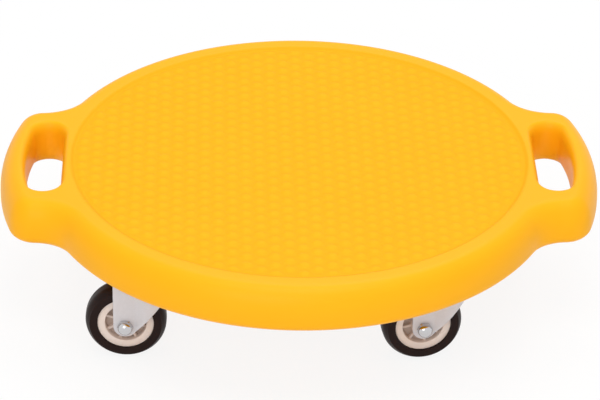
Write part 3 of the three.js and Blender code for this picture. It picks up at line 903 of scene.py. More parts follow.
tree, given = new_tree(
    "non_slip_bumps", "pitch", "bump_radius", "bump_height", "tread_radius", "edge_fade", "lowest"
)
place = add(tree, "GeometryNodeInputPosition")
half_pitch = add(tree, "ShaderNodeMath", [given["pitch"], 0.5], operation="MULTIPLY")
half_row = add(tree, "ShaderNodeMath", [half_pitch, math.sqrt(3)], operation="MULTIPLY")
upper = add(tree, "ShaderNodeCombineXYZ", {"X": half_row, "Y": half_pitch})
lower = add(tree, "ShaderNodeVectorMath", [upper, (-1, -1, -1)], operation="MULTIPLY")
distances = []
for shift in (0, 1):
    moved = [upper, (shift, shift, shift), place]
    moved = add(tree, "ShaderNodeVectorMath", moved, operation="MULTIPLY_ADD")
    in_cell = add(tree, "ShaderNodeVectorMath", [moved, upper, lower], operation="WRAP")
    length = add(tree, "ShaderNodeVectorMath", [in_cell], operation="LENGTH")
    distances.append(length.outputs["Value"])
nearest = add(tree, "ShaderNodeMath", distances, operation="MINIMUM")
print("lattices:", len(distances))

# %% [markdown]
# A smooth ramp over that distance lifts the point, and a second ramp fades the bumps out at
# the step. Only points on top of the board move.

# %% Lift the bumps
BUMP_RADIUS = 5.8
EDGE_FADE = 4.0

flat_top = add(tree, "ShaderNodeMath", [given["bump_radius"], FLAT_TOP], operation="MULTIPLY")
lift = add(
    tree,
    "ShaderNodeMapRange",
    {"Value": nearest, "From Min": given["bump_radius"], "From Max": flat_top, "To Max": 1.0},
    interpolation_type="SMOOTHSTEP",
)
flat_place = add(tree, "ShaderNodeVectorMath", [place, (1, 1, 0)], operation="MULTIPLY")
reach = add(tree, "ShaderNodeVectorMath", [flat_place], operation="LENGTH").outputs["Value"]
fade_start = [given["tread_radius"], given["edge_fade"]]
fade_start = add(tree, "ShaderNodeMath", fade_start, operation="SUBTRACT")
fade = add(
    tree,
    "ShaderNodeMapRange",
    {"Value": reach, "From Min": given["tread_radius"], "From Max": fade_start, "To Max": 1.0},
    interpolation_type="SMOOTHSTEP",
)
rise = add(tree, "ShaderNodeMath", [lift, fade], operation="MULTIPLY")
rise = add(tree, "ShaderNodeMath", [rise, given["bump_height"]], operation="MULTIPLY")
height = add(tree, "ShaderNodeSeparateXYZ", [place]).outputs["Z"]
on_top = {"A": height, "B": given["lowest"]}
on_top = add(tree, "FunctionNodeCompare", on_top, data_type="FLOAT", operation="GREATER_THAN")
offset = add(tree, "ShaderNodeCombineXYZ", {"Z": rise})
moved = {"Geometry": given["Geometry"], "Selection": on_top, "Offset": offset}
close_tree(tree, add(tree, "GeometryNodeSetPosition", moved), "board_plastic")
run_tree(
    board_skin,
    tree,
    pitch=BUMP_PITCH * MM,
    bump_radius=BUMP_RADIUS * MM,
    bump_height=BUMP_HEIGHT * MM,
    tread_radius=(TREAD_RADIUS - STEP_IN) * MM,
    edge_fade=EDGE_FADE * MM,
    lowest=(top_z - 2 * TREAD_DEPTH) * MM,
)
dress(board_skin, "board_plastic", edge_degrees=60)
register(board_skin, "board", "board_plastic", "board")
heights = np.array([v.co.z for v in board_skin.data.vertices]) / MM
print("board from", round(heights.min(), 2), "to", round(heights.max(), 2), "mm up")

# %% [markdown]
# ## The casters
#
# All four casters are alike, so each of their pieces is built once, around a kingpin that
# stands at the origin with the fork trailing towards -X, and copied to the four corners.
# What turns with the fork is swivelled by the few degrees that the photograph shows. The
# wheels differ by how far they have rolled. The two rear casters stand straight, so the
# sizes are read from the rear left one.

# %% Places and sizes of the casters
CORNERS = ["front_left", "front_right", "rear_left", "rear_right"]
SWIVEL_TURNS = {"front_left": -2, "front_right": 9, "rear_left": 0, "rear_right": 0}
WHEEL_TURNS = {"front_left": 28, "front_right": 8, "rear_left": 9, "rear_right": 31}


def model_box(name):
    """The CAD box of one piece of the rear left caster, in millimetres."""
    return box_mm(f"rear_left_{name}")


def middle(low_high):
    return (low_high[0] + low_high[1]) / 2


caster_places = {corner: middle(box_mm(f"{corner}_kingpin")) for corner in CORNERS}
model_place = caster_places["rear_left"]
tyre_low, tyre_high = model_box("tyre")
axle_x = middle(model_box("tyre")).x - model_place.x
axle_z = (tyre_low.z + tyre_high.z) / 2
axle = (axle_x, 0, axle_z)
wheel_radius = (tyre_high.z - tyre_low.z) / 2
half_tyre = (tyre_high.y - tyre_low.y) / 2
print("trail:", round(-axle_x, 2), "wheel radius:", round(wheel_radius, 2))


def way_to(corner, body):
    """The way from the model caster to a corner, swivelled unless it belongs to the board."""
    turn = 0 if body == "board" else SWIVEL_TURNS[corner]
    place = Vector((caster_places[corner].x, caster_places[corner].y, 0)) * MM
    return Matrix.Translation(place) @ Matrix.Rotation(math.radians(turn), 4, "Z")


def place_all(piece, body, slot, edge_degrees=EDGE_DEGREES):
    """Dresses a piece and puts a copy at each caster, on the board or on that caster's body."""
    dress(piece, slot, edge_degrees)
    for corner in CORNERS:
        node = f"{corner}_{piece.name}"
        copy = copy_to(piece, f"{node}_fine", way_to(corner, body))
        register(copy, body.format(corner), slot, node)
    print(f"{piece.name}: {len(piece.data.polygons)} faces at each caster")
    bpy.data.objects.remove(piece)


# %% [markdown]
# ## Fork
#
# The fork is one pressed sheet. A round crown carries the lower ball race, its edge turns
# down into a skirt, and the skirt runs back into two level legs that hold the axle. Seen from
# above, its half plan is a chain of arcs and lines. Seen from the side, its lower edge is a
# slant that touches the round end of the leg.

# %% Fork plan and side view
CROWN_RADIUS = 18.9
CROWN_THICKNESS = 2.2
CROWN_EDGE_RADIUS = 1.2
FLANK_ANGLE = math.radians(29)
LEG_OFFSET = 13.75
LEG_END_RADIUS = 9.3
SKIRT_LIP = 1.4
CREASE_RADIUS = 5.0
DRUM_STEPS = 34
CREASE_STEPS = 6
LEG_STEPS = 19

crown_top_z = model_box("fork")[1].z


def fork_half_plan(inset):
    """The left half of the fork's plan, from the front of the drum back to the leg's end."""
    radius = CROWN_RADIUS - inset
    level = LEG_OFFSET - inset
    flank_turn = math.pi / 2 + FLANK_ANGLE
    crease_x = (radius - math.sin(flank_turn) * level) / math.cos(flank_turn)
    bend = CREASE_RADIUS + inset
    bend_centre = (crease_x - bend * math.tan(FLANK_ANGLE / 2), level + bend)
    crease = arc(bend_centre, bend, FLANK_ANGLE - math.pi / 2, -math.pi / 2, CREASE_STEPS)
    first = math.acos((axle_x - crease[-1][0]) / LEG_END_RADIUS)
    turns = np.linspace(first, 0, LEG_STEPS + 1)[1:]
    leg = [(axle_x - LEG_END_RADIUS * math.cos(a), level) for a in turns]
    return arc((0, 0), radius, 0, flank_turn, DRUM_STEPS) + crease + leg


def whole_plan(inset):
    half = fork_half_plan(inset)
    return half + [(x, -y) for x, y in reversed(half)][:-1]


lip = (CROWN_RADIUS, crown_top_z - CROWN_THICKNESS - SKIRT_LIP)
leg_middle = (axle_x, axle_z)
slant = angle_of(leg_middle, lip) - math.acos(LEG_END_RADIUS / math.dist(leg_middle, lip))
touch = (axle_x + LEG_END_RADIUS * math.cos(slant), axle_z + LEG_END_RADIUS * math.sin(slant))


def lower_edge(x):
    """The height of the fork's lower edge at a place along X: the slant, then the round end."""
    if x >= touch[0]:
        return touch[1] + (x - touch[0]) / (lip[0] - touch[0]) * (lip[1] - touch[1])
    return axle_z - math.sqrt(max(LEG_END_RADIUS**2 - (x - axle_x) ** 2, 0))


print("slant touches the round end at", [round(v, 2) for v in touch])

# %% [markdown]
# The fork is modelled as the outer face of the sheet only: a strip that follows the plan and
# is open behind, closed at the top by the crown with its ball race. Solidify then gives it
# the sheet's thickness and Bevel breaks the cut edges, as the press and the powder coat do.

# %% Fork sheet
FORK_SHEET = 2.0
WALL_LEVELS = 8
EDGE_STEPS = 6
RACE_DEPTH = 0.7
RACE_HALF_WIDTH = 2.0
RACE_RINGS = 9
RACE_STEPS = 96
BALL_PITCH_RADIUS = 15.0
PIN_HOLE_RADIUS = 4.85
BROKEN_EDGE = 0.3
BREAK_ANGLE = math.radians(55)


def race(flat):
    """The depth of a ball race, a rounded groove, under flat points."""
    aside = np.abs(from_middle(flat) - BALL_PITCH_RADIUS)
    return RACE_DEPTH * soft_step(RACE_HALF_WIDTH - aside, RACE_HALF_WIDTH)


strips = []
for a in np.linspace(math.pi / 2, 0, EDGE_STEPS + 1):
    plan = whole_plan(CROWN_EDGE_RADIUS * (1 - math.cos(a)))
    strips.append(lifted(plan, crown_top_z - CROWN_EDGE_RADIUS * (1 - math.sin(a))))
wall_top = crown_top_z - CROWN_EDGE_RADIUS
for share in np.linspace(0, 1, WALL_LEVELS + 1)[1:]:
    wall = [(x, y, wall_top + (lower_edge(x) - wall_top) * share) for x, y in plan]
    strips.append(wall)
points, faces = bands(strips)
gap_start = len(fork_half_plan(0)) - 1
faces = [f for f in faces if f[0] % len(plan) != gap_start]
race_radii = BALL_PITCH_RADIUS + np.linspace(-1, 1, RACE_RINGS) * RACE_HALF_WIDTH
crown, crown_faces = fill(
    [(x, y) for x, y, _ in strips[0]],
    [circle(PIN_HOLE_RADIUS, RACE_STEPS)],
    [circle(r, RACE_STEPS) for r in race_radii],
)
crown_points = np.column_stack([crown, crown_top_z - race(crown)]).tolist()
fork = shape("fork", *merged((points, faces), (crown_points, crown_faces)))
if sum(p.normal.z * p.area for p in fork.data.polygons) < 0:
    fork.data.flip_normals()
modify(fork, "SOLIDIFY", thickness=FORK_SHEET * MM, offset=-1, use_even_offset=True)
bevel = {"width": BROKEN_EDGE * MM, "segments": 2}
modify(fork, "BEVEL", limit_method="ANGLE", angle_limit=BREAK_ANGLE, **bevel)
bake(fork)
place_all(fork, "{}_fork", "white_paint", edge_degrees=40)

# %% [markdown]
# ## Tyre
#
# The tyre is a plain ring of black compound on the wheel centre. Its side walls are flat, and
# its tread is crowned: it falls off on both sides of a level strip, down to a small round
# corner, so that the wheel swivels easily. One side is drawn and then mirrored.

# %% Tyre
TYRE_DEPTH = 9.65
TYRE_SEAT_GAP = 0.1
TYRE_CROWN = 3.0
TYRE_CORNER = 1.0
CORNER_SHARE = 0.6
TREAD_FLAT = 5.0
CROWN_STEPS = 12
WHEEL_STEPS = 112


def both_sides(side):
    """The (radius, height, rounding) corners of one side, and the same mirrored."""
    return side + [(r, -y, f) for r, y, f in reversed(side)]


rim_radius = wheel_radius - TYRE_DEPTH
shoulder_radius = wheel_radius - TYRE_CROWN - TYRE_CORNER * CORNER_SHARE
crown_reach = half_tyre - TYRE_CORNER - TREAD_FLAT / 2
shoulder = [(rim_radius + TYRE_SEAT_GAP, -half_tyre, 0.5), (shoulder_radius, -half_tyre, 0.9)]
for share in np.linspace(1, 0, CROWN_STEPS + 1):
    fall = TYRE_CROWN * share**2
    shoulder.append((wheel_radius - fall, -TREAD_FLAT / 2 - share * crown_reach, 0))
tyre_profile = rounded(both_sides(shoulder), steps=6)
tyre = shape("tyre", *revolve(tyre_profile, WHEEL_STEPS, "Y", axle))
place_all(tyre, "{}_wheel", "black_tyre")

# %% [markdown]
# ## Wheel centre
#
# The centre is one moulding: a band that carries the tyre, a web in the middle, a hub and
# eight low ribs on each side. The band, the web and the hub are revolved.

# %% Wheel centre, revolved part
RIM_INSET = 1.9
RIM_BAND_WIDTH = 5.9
RIM_DRAFT = 0.5
WEB_THICKNESS = 6.0
HUB_WALL = 3.75
HUB_PROUD = 0.6
BORE_RADIUS = 5.45

hub_radius = BORE_RADIUS + HUB_WALL
hub_y = half_tyre + HUB_PROUD
rim_y = half_tyre - RIM_INSET
band_inner = rim_radius - RIM_BAND_WIDTH
band_root = band_inner - RIM_DRAFT
web_y = WEB_THICKNESS / 2
centre_side = [
    (BORE_RADIUS, hub_y, 0.4),
    (hub_radius, hub_y, 0.5),
    (hub_radius, web_y, 0.8),
    (band_root, web_y, 1.0),
    (band_inner, rim_y, 0.7),
    (rim_radius, rim_y, 0.4),
]
centre_profile = rounded(both_sides(centre_side), steps=5)
wheel_centre = shape("wheel_centre", *revolve(centre_profile, WHEEL_STEPS, "Y", axle))
print("wheel centre:", len(wheel_centre.data.polygons), "faces before its ribs")

# %% [markdown]
# The ribs repeat round the axle, so one rib is made, and a Geometry Nodes tree sets copies of
# it round the axle, turned by as much as the wheel has rolled.

# %% One rib, and a tree that sets it round the axle
RIB_COUNT = 8
RIB_THICKNESS = 2.2
RIB_HEIGHT = 3.0
RIB_ROUND = 0.5

rib_outline = rounded_box(RIB_THICKNESS / 2, web_y + RIB_HEIGHT, RIB_ROUND)
rib_ends = (hub_radius - RIB_THICKNESS / 2, band_root + RIB_THICKNESS / 2)
rib = shape("rib", *block([[(x, y, z) for z, y in rib_outline] for x in rib_ends]))

tree, given = new_tree("wheel_ribs", "turn", "count", "axle_x", "axle_z")
count = add(tree, "FunctionNodeFloatToInt", [given["count"]])
dots = add(tree, "GeometryNodeMeshLine", {"Count": count, "Offset": (0, 0, 0)})
seats = add(tree, "GeometryNodeMeshToPoints", {"Mesh": dots})
index = add(tree, "GeometryNodeInputIndex")
turns = add(tree, "ShaderNodeMath", [index, given["count"]], operation="DIVIDE")
angle = [turns, -2 * math.pi, given["turn"]]
angle = add(tree, "ShaderNodeMath", angle, operation="MULTIPLY_ADD")
spin = add(tree, "ShaderNodeCombineXYZ", {"Y": angle})
source = add(tree, "GeometryNodeObjectInfo", {"Object": rib}).outputs["Geometry"]
copies = {"Points": seats, "Instance": source, "Rotation": spin}
copies = add(tree, "GeometryNodeInstanceOnPoints", copies)
hub = add(tree, "ShaderNodeCombineXYZ", {"X": given["axle_x"], "Z": given["axle_z"]})
ribs = add(tree, "GeometryNodeTransform", {"Geometry": copies, "Translation": hub})
close_tree(tree, with_input(tree, given, ribs), "cream_plastic")

# %% [markdown]
# Each wheel centre gets its ribs at the origin. Then each point gets its depth in the recess, which
# the painted shade follows, and the mesh is moved to its caster.

# %% Four wheel centres
for corner in CORNERS:
    centre = copy_to(wheel_centre, f"{corner}_wheel_rim_fine")
    turn = -math.radians(WHEEL_TURNS[corner])
    run_tree(centre, tree, turn=turn, count=RIB_COUNT, axle_x=axle_x * MM, axle_z=axle_z * MM)
    # This depth sets how much painted shade each point of the recess gets.
    heights = np.array([abs(v.co.y) for v in centre.data.vertices]) / MM
    depths = np.clip((rim_y - heights) / (rim_y - web_y), 0, 1)
    centre.data.attributes.new("recess", "FLOAT", "POINT").data.foreach_set("value", depths)
    centre.data.transform(way_to(corner, "wheel"))
    dress(centre, "cream_plastic")
    register(centre, f"{corner}_wheel", "cream_plastic", f"{corner}_wheel_rim")
print("wheel centre with ribs:", len(centre.data.polygons), "faces")
for used in (rib, wheel_centre):
    bpy.data.objects.remove(used)

# %% [markdown]
# ## Axle bolt, cap nut and sleeve
#
# A hexagon whose corners are turned off on a lathe has curved chamfers. Both the nut and the
# bolt head are made in polar form: at each angle the radius is the hexagon's, or that of the
# turned cone where this is smaller. The dome of the cap nut follows on.

# %% Hexagon with turned corners
HEX_ACROSS_FLATS = 11.0
HEX_CHAMFER = 0.7
CHAMFER_SHARES = (0, 0.35, 0.7, 1)
HEX_STEPS = 72
SEAT_SHARE = 0.97

flat_radius = HEX_ACROSS_FLATS / 2
hex_corner = flat_radius / math.cos(math.pi / 6)
seat_radius = flat_radius * SEAT_SHARE


def polar_rings(levels):
    """Rings about the axle from (y, limit, radius) levels, a hexagon where there is no radius."""
    rings = []
    for y, limit, radius in levels:
        ring = []
        for i in range(HEX_STEPS):
            a = 2 * math.pi * i / HEX_STEPS
            hexagon = flat_radius / math.cos((a % (math.pi / 3)) - math.pi / 6)
            r = min(hexagon, limit) if radius is None else radius
            ring.append((axle_x + r * math.cos(a), y, axle_z + r * math.sin(a)))
        rings.append(ring)
    return rings


def capped(rings):
    """Rings as a solid, with a flat fan over the first and the last."""
    points, faces = bands(rings)
    count = len(rings[0])
    for ring, first in ((rings[0], 0), (rings[-1], (len(rings) - 1) * count)):
        points.append(tuple(np.mean(np.array(ring), axis=0)))
        faces += [(first + i, first + (i + 1) % count, len(points) - 1) for i in range(count)]
    return points, faces


def hexagon_levels(from_y, to_y):
    """Levels of a hexagon along Y, with a turned chamfer at both ends."""
    way = math.copysign(1, to_y - from_y)
    growth = hex_corner - flat_radius
    cone = [(share * HEX_CHAMFER, flat_radius + growth * share) for share in CHAMFER_SHARES]
    levels = [(from_y + way * depth, limit, None) for depth, limit in cone]
    return levels + [(to_y - way * depth, limit, None) for depth, limit in reversed(cone)]


print("hexagon:", HEX_ACROSS_FLATS, "mm across flats,", round(2 * hex_corner, 2), "over corners")

# %% Cap nut
CAP_NUT_BASE = 2.4
DOME_RADIUS = 5.8
DOME_HEIGHT = 4.6
DOME_NECK = 0.2
DOME_STEPS = 11

leg_outer_y = model_place.y - model_box("cap_nut")[1].y
dome_y = -leg_outer_y - CAP_NUT_BASE
levels = [(-leg_outer_y, 0, seat_radius), *hexagon_levels(-leg_outer_y, dome_y)]
levels.append((dome_y, 0, DOME_RADIUS))
for a in np.linspace(math.pi / 2, 0, DOME_STEPS + 1)[:-1]:
    levels.append((dome_y - DOME_NECK - DOME_HEIGHT * math.cos(a), 0, DOME_RADIUS * math.sin(a)))
cap_nut = shape("cap_nut", *capped(polar_rings(levels)))
place_all(cap_nut, "{}_fork", "chrome", edge_degrees=30)

# %% [markdown]
# The bolt's shank runs through both legs into the cap nut. The sleeve stands round it,
# clamped between the legs, and the wheel turns on the sleeve.

# %% Axle bolt and sleeve
AXLE_RADIUS = 3.2
AXLE_HOLE_GAP = 0.2
BOLT_HEAD_HEIGHT = 4.4
BOLT_END = 18.15
BOLT_TIP_LENGTH = 0.6
BOLT_TIP_SHARE = 0.85
SLEEVE_WALL = 1.8
SLEEVE_ROUND = 0.3
PIN_STEPS = 48

levels = [
    (-BOLT_END, 0, AXLE_RADIUS * BOLT_TIP_SHARE),
    (-BOLT_END + BOLT_TIP_LENGTH, 0, AXLE_RADIUS),
    (leg_outer_y, 0, AXLE_RADIUS),
    (leg_outer_y, 0, seat_radius),
    *hexagon_levels(leg_outer_y, leg_outer_y + BOLT_HEAD_HEIGHT),
]
axle_bolt = shape("axle_bolt", *capped(polar_rings(levels)))
place_all(axle_bolt, "{}_fork", "chrome", edge_degrees=30)

sleeve_low, sleeve_high = model_box("axle_sleeve")
sleeve_half = (sleeve_high.y - sleeve_low.y) / 2
sleeve_inner = AXLE_RADIUS + AXLE_HOLE_GAP
sleeve_radii = (sleeve_inner, sleeve_inner + SLEEVE_WALL)
sleeve_profile = rounded(both_sides([(r, -sleeve_half, SLEEVE_ROUND) for r in sleeve_radii]))
sleeve = shape("axle_sleeve", *revolve(sleeve_profile, PIN_STEPS, "Y", axle))
place_all(sleeve, "{}_fork", "ball_steel")

# %% [markdown]
# ## Swivel bearing
#
# The kingpin is a rivet: its upper head lies in the plate's dish, and its lower end is
# spread over a pressed cup that holds the fork up against the balls. Both are revolved.

# %% Kingpin and bearing cup
KINGPIN_RADIUS = 4.5
KINGPIN_HEAD_RADIUS = 8.5
KINGPIN_HEAD_HEIGHT = 1.8
RIVET_HEAD_RADIUS = 7.4
CUP_RADIUS = 12.5
CUP_SHEET = 1.8
CUP_RIM_WIDTH = 2.6
CUP_STEPS = 64
SEAT_GAP = 0.1

pin_low, pin_high = model_box("kingpin")
cup_low, cup_high = model_box("bearing_cup")
head_floor_z = pin_high.z - KINGPIN_HEAD_HEIGHT
pin_profile = [
    (0, pin_low.z, 0),
    (RIVET_HEAD_RADIUS, pin_low.z, 1.3),
    (RIVET_HEAD_RADIUS, cup_low.z, 0.1),
    (KINGPIN_RADIUS, cup_low.z, 0.1),
    (KINGPIN_RADIUS, head_floor_z, 0.2),
    (KINGPIN_HEAD_RADIUS, head_floor_z, 0.2),
    (KINGPIN_HEAD_RADIUS, pin_high.z, 0.8),
    (0, pin_high.z, 0),
]
kingpin = shape("kingpin", *revolve(rounded(pin_profile), PIN_STEPS))
place_all(kingpin, "board", "zinc_steel")

cup_floor = CUP_RADIUS - CUP_RIM_WIDTH - CUP_SHEET
cup_profile = [
    (KINGPIN_RADIUS + SEAT_GAP, cup_low.z, 0.1),
    (cup_floor, cup_low.z, 1.5),
    (CUP_RADIUS, cup_high.z - CUP_SHEET, 0.5),
    (CUP_RADIUS, cup_high.z, 0.3),
    (CUP_RADIUS - CUP_RIM_WIDTH, cup_high.z, 0.8),
    (cup_floor - CUP_SHEET / 2, cup_low.z + CUP_SHEET, 0.8),
    (KINGPIN_RADIUS + SEAT_GAP, cup_low.z + CUP_SHEET, 0.1),
]
cup = shape("bearing_cup", *revolve(rounded(cup_profile), CUP_STEPS))
place_all(cup, "board", "zinc_steel")

# %% [markdown]
# Eight balls run between the fork's crown and the plate, strung on a wire cage. The cage is
# a revolved ring, and a tree puts a ball on each point of a circle.

# %% Balls on their cage
BALL_RADIUS = 2.38
BALL_COUNT = 8
BALL_SEGMENTS = 28
BALL_RINGS = 14
CAGE_WIRE_RADIUS = 0.6
WIRE_STEPS = 12

ball_z = middle(model_box("ball_ring")).z
wire = circle(CAGE_WIRE_RADIUS, WIRE_STEPS, (BALL_PITCH_RADIUS, ball_z))
cage = shape("ball_ring", *revolve(wire, RACE_STEPS))

tree, given = new_tree("balls_on_a_ring", "ball_radius", "pitch_radius", "height", "count")
count = add(tree, "FunctionNodeFloatToInt", [given["count"]])
ring = add(tree, "GeometryNodeMeshCircle", {"Vertices": count, "Radius": given["pitch_radius"]})
level = add(tree, "ShaderNodeCombineXYZ", {"Z": given["height"]})
raised = add(tree, "GeometryNodeTransform", {"Geometry": ring, "Translation": level})
ball = {"Segments": BALL_SEGMENTS, "Rings": BALL_RINGS, "Radius": given["ball_radius"]}
ball = add(tree, "GeometryNodeMeshUVSphere", ball)
balls = add(tree, "GeometryNodeInstanceOnPoints", {"Points": raised, "Instance": ball})
close_tree(tree, with_input(tree, given, balls), "ball_steel")
run_tree(
    cage,
    tree,
    ball_radius=BALL_RADIUS * MM,
    pitch_radius=BALL_PITCH_RADIUS * MM,
    height=ball_z * MM,
    count=BALL_COUNT,
)
place_all(cage, "{}_fork", "ball_steel")

# %% [markdown]
# ## Mount plate
#
# The plate is a rounded square of 2.2 mm steel. The press gives it a dish for the kingpin's
# head and a ball race in its underside. One flat fill serves both faces: the lower face
# follows one height over the plan and the upper face another, and walls join their borders.

# %% Mount plate
PLATE_CORNER = 6.0
PLATE_CORNER_STEPS = 8
PLATE_THICKNESS = 2.2
DISH_RADIUS = 9.6
DISH_MOUTH_RADIUS = 11.2
DISH_MARGIN = 0.4
DISH_RINGS = 8
SCREW_EDGE = 7.0
SCREW_RADIUS = 2.2
SCREW_HOLE_GAP = 0.35
SCREW_HOLE_STEPS = 24

plate_low, plate_high = model_box("mount_plate")
half_plate = (plate_high.x - plate_low.x) / 2
screw_offset = half_plate - SCREW_EDGE
plate_bottom_z = plate_high.z - PLATE_THICKNESS
screw_spots = [(x * screw_offset, y * screw_offset) for x, y in QUADRANTS]
dish_ends = (DISH_RADIUS - DISH_MARGIN, DISH_MOUTH_RADIUS + DISH_MARGIN)
holes = [circle(KINGPIN_RADIUS + SEAT_GAP, RACE_STEPS)]
holes += [circle(SCREW_RADIUS + SCREW_HOLE_GAP, SCREW_HOLE_STEPS, c) for c in screw_spots]
flat, triangles = fill(
    rounded_box(half_plate, half_plate, PLATE_CORNER, PLATE_CORNER_STEPS),
    holes,
    [circle(r, RACE_STEPS) for r in (*np.linspace(*dish_ends, DISH_RINGS), *race_radii)],
)
dish_width = DISH_MOUTH_RADIUS - DISH_RADIUS
dish = PLATE_THICKNESS * soft_step(DISH_MOUTH_RADIUS - from_middle(flat), dish_width)
lower = np.column_stack([flat, plate_bottom_z - dish + race(flat)]).tolist()
upper = np.column_stack([flat, plate_high.z - dish]).tolist()
points, faces = merged((lower, [t[::-1] for t in triangles]), (upper, triangles))
sides = dict.fromkeys((t[i], t[(i + 1) % 3]) for t in triangles for i in range(3))
border = [(a, b) for a, b in sides if (b, a) not in sides]
faces += [(a, b, b + len(flat), a + len(flat)) for a, b in border]
plate = shape("mount_plate", points, faces)
place_all(plate, "board", "zinc_steel", edge_degrees=40)

# %% [markdown]
# ## Plate screws
#
# Sixteen pan-head screws hold the plates. They are all alike, so one screw is modelled, and
# its cross recess is cut with a Boolean: each arm of the cross narrows to less than half
# its length at the bottom.

# %% One screw
SCREW_HEAD_RADIUS = 4.3
SCREW_HEAD_HEIGHT = 2.4
SCREW_LENGTH = 16.0
SCREW_TIP_LENGTH = 3.0
SCREW_STEPS = 32
RECESS_WIDTH = 0.95
RECESS_LENGTH = 4.4
RECESS_DEPTH = 1.5
RECESS_TAPER = 0.45
CUT_MARGIN = 1.0

head_bottom_z = plate_bottom_z - SCREW_HEAD_HEIGHT
tip_z = plate_bottom_z + SCREW_LENGTH
screw_profile = [
    (0, head_bottom_z, 0),
    (SCREW_HEAD_RADIUS, head_bottom_z, 1.7),
    (SCREW_HEAD_RADIUS, plate_bottom_z, 0.1),
    (SCREW_RADIUS, plate_bottom_z, 0),
    (SCREW_RADIUS, tip_z - SCREW_TIP_LENGTH, 0.2),
    (0, tip_z, 0),
]
screw = shape("screw", *revolve(rounded(screw_profile), SCREW_STEPS))
recess_levels = ((head_bottom_z - CUT_MARGIN, 1), (head_bottom_z + RECESS_DEPTH, RECESS_TAPER))
arms = []
for along_x in (True, False):
    loops = []
    for z, share in recess_levels:
        length, width = RECESS_LENGTH * share / 2, RECESS_WIDTH / 2
        x, y = (length, width) if along_x else (width, length)
        loops.append([(x, y, z), (-x, y, z), (-x, -y, z), (x, -y, z)])
    arms.append(block(loops))
cross = mesh_object("cross", *merged(*arms))
modify(screw, "BOOLEAN", operation="DIFFERENCE", solver="EXACT", use_self=True, object=cross)
bake(screw)
dress(screw, "zinc_steel")
bpy.data.objects.remove(cross)
print("screw:", len(screw.data.polygons), "faces")

# %% [markdown]
# A Geometry Nodes tree sets the screw on sixteen points, four to a plate.

# %% Sixteen screws
spots = [(place.x + x, place.y + y, 0) for place in caster_places.values() for x, y in screw_spots]
screws = mesh_object("plate_screws", spots, [])
tree, given = new_tree("screws_on_points")
source = add(tree, "GeometryNodeObjectInfo", {"Object": screw}).outputs["Geometry"]
copies = {"Points": given["Geometry"], "Instance": source}
close_tree(tree, add(tree, "GeometryNodeInstanceOnPoints", copies), "zinc_steel")
run_tree(screws, tree)
dress(screws, "zinc_steel")
replaced = [f"{corner}_plate_screw_{i}" for corner in CORNERS for i in (1, 2, 3, 4)]
register(screws, "board", "zinc_steel", *replaced)
bpy.data.objects.remove(screw)
print("screws:", len(screws.data.polygons), "faces for", len(replaced), "screws")

# %% [markdown]
# ## Floor and light
#
# The photograph shows the board on plain white, without a shadow. The floor here is white
# paper. For the camera, and in what the object reflects, most of it is replaced by an even
# white, so it reads as white and still darkens a little where the board keeps the light off.

# %% Floor
FLOOR_SIZE = 12000.0
FLOOR_GLOW = 0.88
PAPER = (0.9, 0.9, 0.9, 1.0)
WHITE = (1.0, 1.0, 1.0, 1.0)


def background_rays(tree):
    """1 for rays that show a background, straight, by reflection or through glass, else 0."""
    rays = add(tree, "ShaderNodeLightPath").outputs
    seen = [rays["Is Camera Ray"], rays["Is Glossy Ray"]]
    seen = add(tree, "ShaderNodeMath", seen, operation="MAXIMUM")
    return add(tree, "ShaderNodeMath", [seen, rays["Is Transmission Ray"]], operation="MAXIMUM")


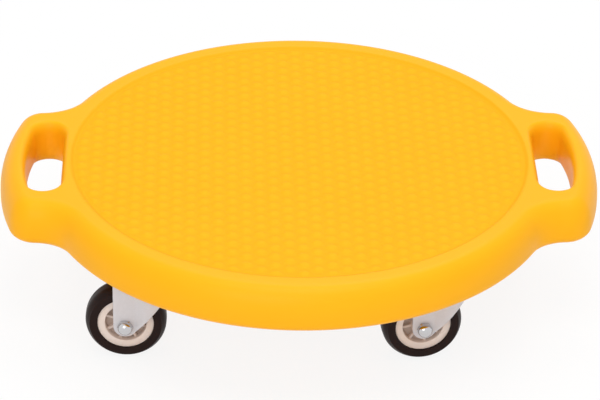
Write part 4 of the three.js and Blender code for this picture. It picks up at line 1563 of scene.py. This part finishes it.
floor_material = bpy.data.materials.new("white_paper_floor")
floor_material.use_nodes = True
tree = floor_material.node_tree
tree.nodes.clear()
paper = add(tree, "ShaderNodeBsdfDiffuse", {"Color": PAPER})
glow = add(tree, "ShaderNodeEmission", {"Strength": 1.0})
share = add(tree, "ShaderNodeMath", [background_rays(tree), FLOOR_GLOW], operation="MULTIPLY")
add(tree, "ShaderNodeOutputMaterial", [add(tree, "ShaderNodeMixShader", [share, paper, glow])])
half_floor = FLOOR_SIZE / 2
floor_corners = [(x * half_floor, y * half_floor, 0) for x, y in QUADRANTS]
floor = mesh_object("floor", floor_corners, [(0, 1, 2, 3)])
floor.data.materials.append(floor_material)
print("floor nodes:", len(tree.nodes))

# %% [markdown]
# The sky is brighter overhead and in front than at the back, and plain white where it is seen.

# %% Sky
SKY_LOW = 0.25
SKY_HIGH = 0.85
SKY_LOW_TURN = -0.3
BRIGHT_WAY = Vector((0.20, -0.45, 0.86)).normalized()

world = bpy.data.worlds.new("soft_sky")
bpy.context.scene.world = world
world.use_nodes = True
tree = world.node_tree
tree.nodes.clear()
way = add(tree, "ShaderNodeTexCoord").outputs["Generated"]
toward = add(tree, "ShaderNodeVectorMath", [way, BRIGHT_WAY], operation="DOT_PRODUCT")
strength = {"Value": toward.outputs["Value"], "From Min": SKY_LOW_TURN, "From Max": 1.0}
strength = add(tree, "ShaderNodeMapRange", {**strength, "To Min": SKY_LOW, "To Max": SKY_HIGH})
sky = add(tree, "ShaderNodeBackground", {"Color": WHITE, "Strength": strength})
white = add(tree, "ShaderNodeBackground", {"Color": WHITE, "Strength": 1.0})
seen_sky = add(tree, "ShaderNodeMixShader", [background_rays(tree), sky, white])
add(tree, "ShaderNodeOutputWorld", [seen_sky])
print("sky nodes:", len(tree.nodes))

# %% [markdown]
# Three soft lamps light the board: one from the front left, one from above and one from high
# behind. They are about a metre wide, so their shadows are soft.


# %% Lamps
LAMP_SIZE = 1100
LAMP_AIM = (0, 0, 90)


def soft_lamp(name, place_mm, watts):
    """A square area lamp at a place, aimed at the board."""
    lamp = set_fields(bpy.data.lights.new(name, "AREA"), size=LAMP_SIZE * MM, energy=watts)
    way = (Vector(LAMP_AIM) - Vector(place_mm)).to_track_quat("-Z", "Y").to_matrix().to_4x4()
    in_scene(name, lamp).matrix_world = Matrix.Translation(Vector(place_mm) * MM) @ way


soft_lamp("key_lamp", (-600, -1980, 1100), 9.3)
soft_lamp("top_lamp", (0, -600, 2000), 11)
soft_lamp("back_lamp", (200, 1000, 1800), 11)
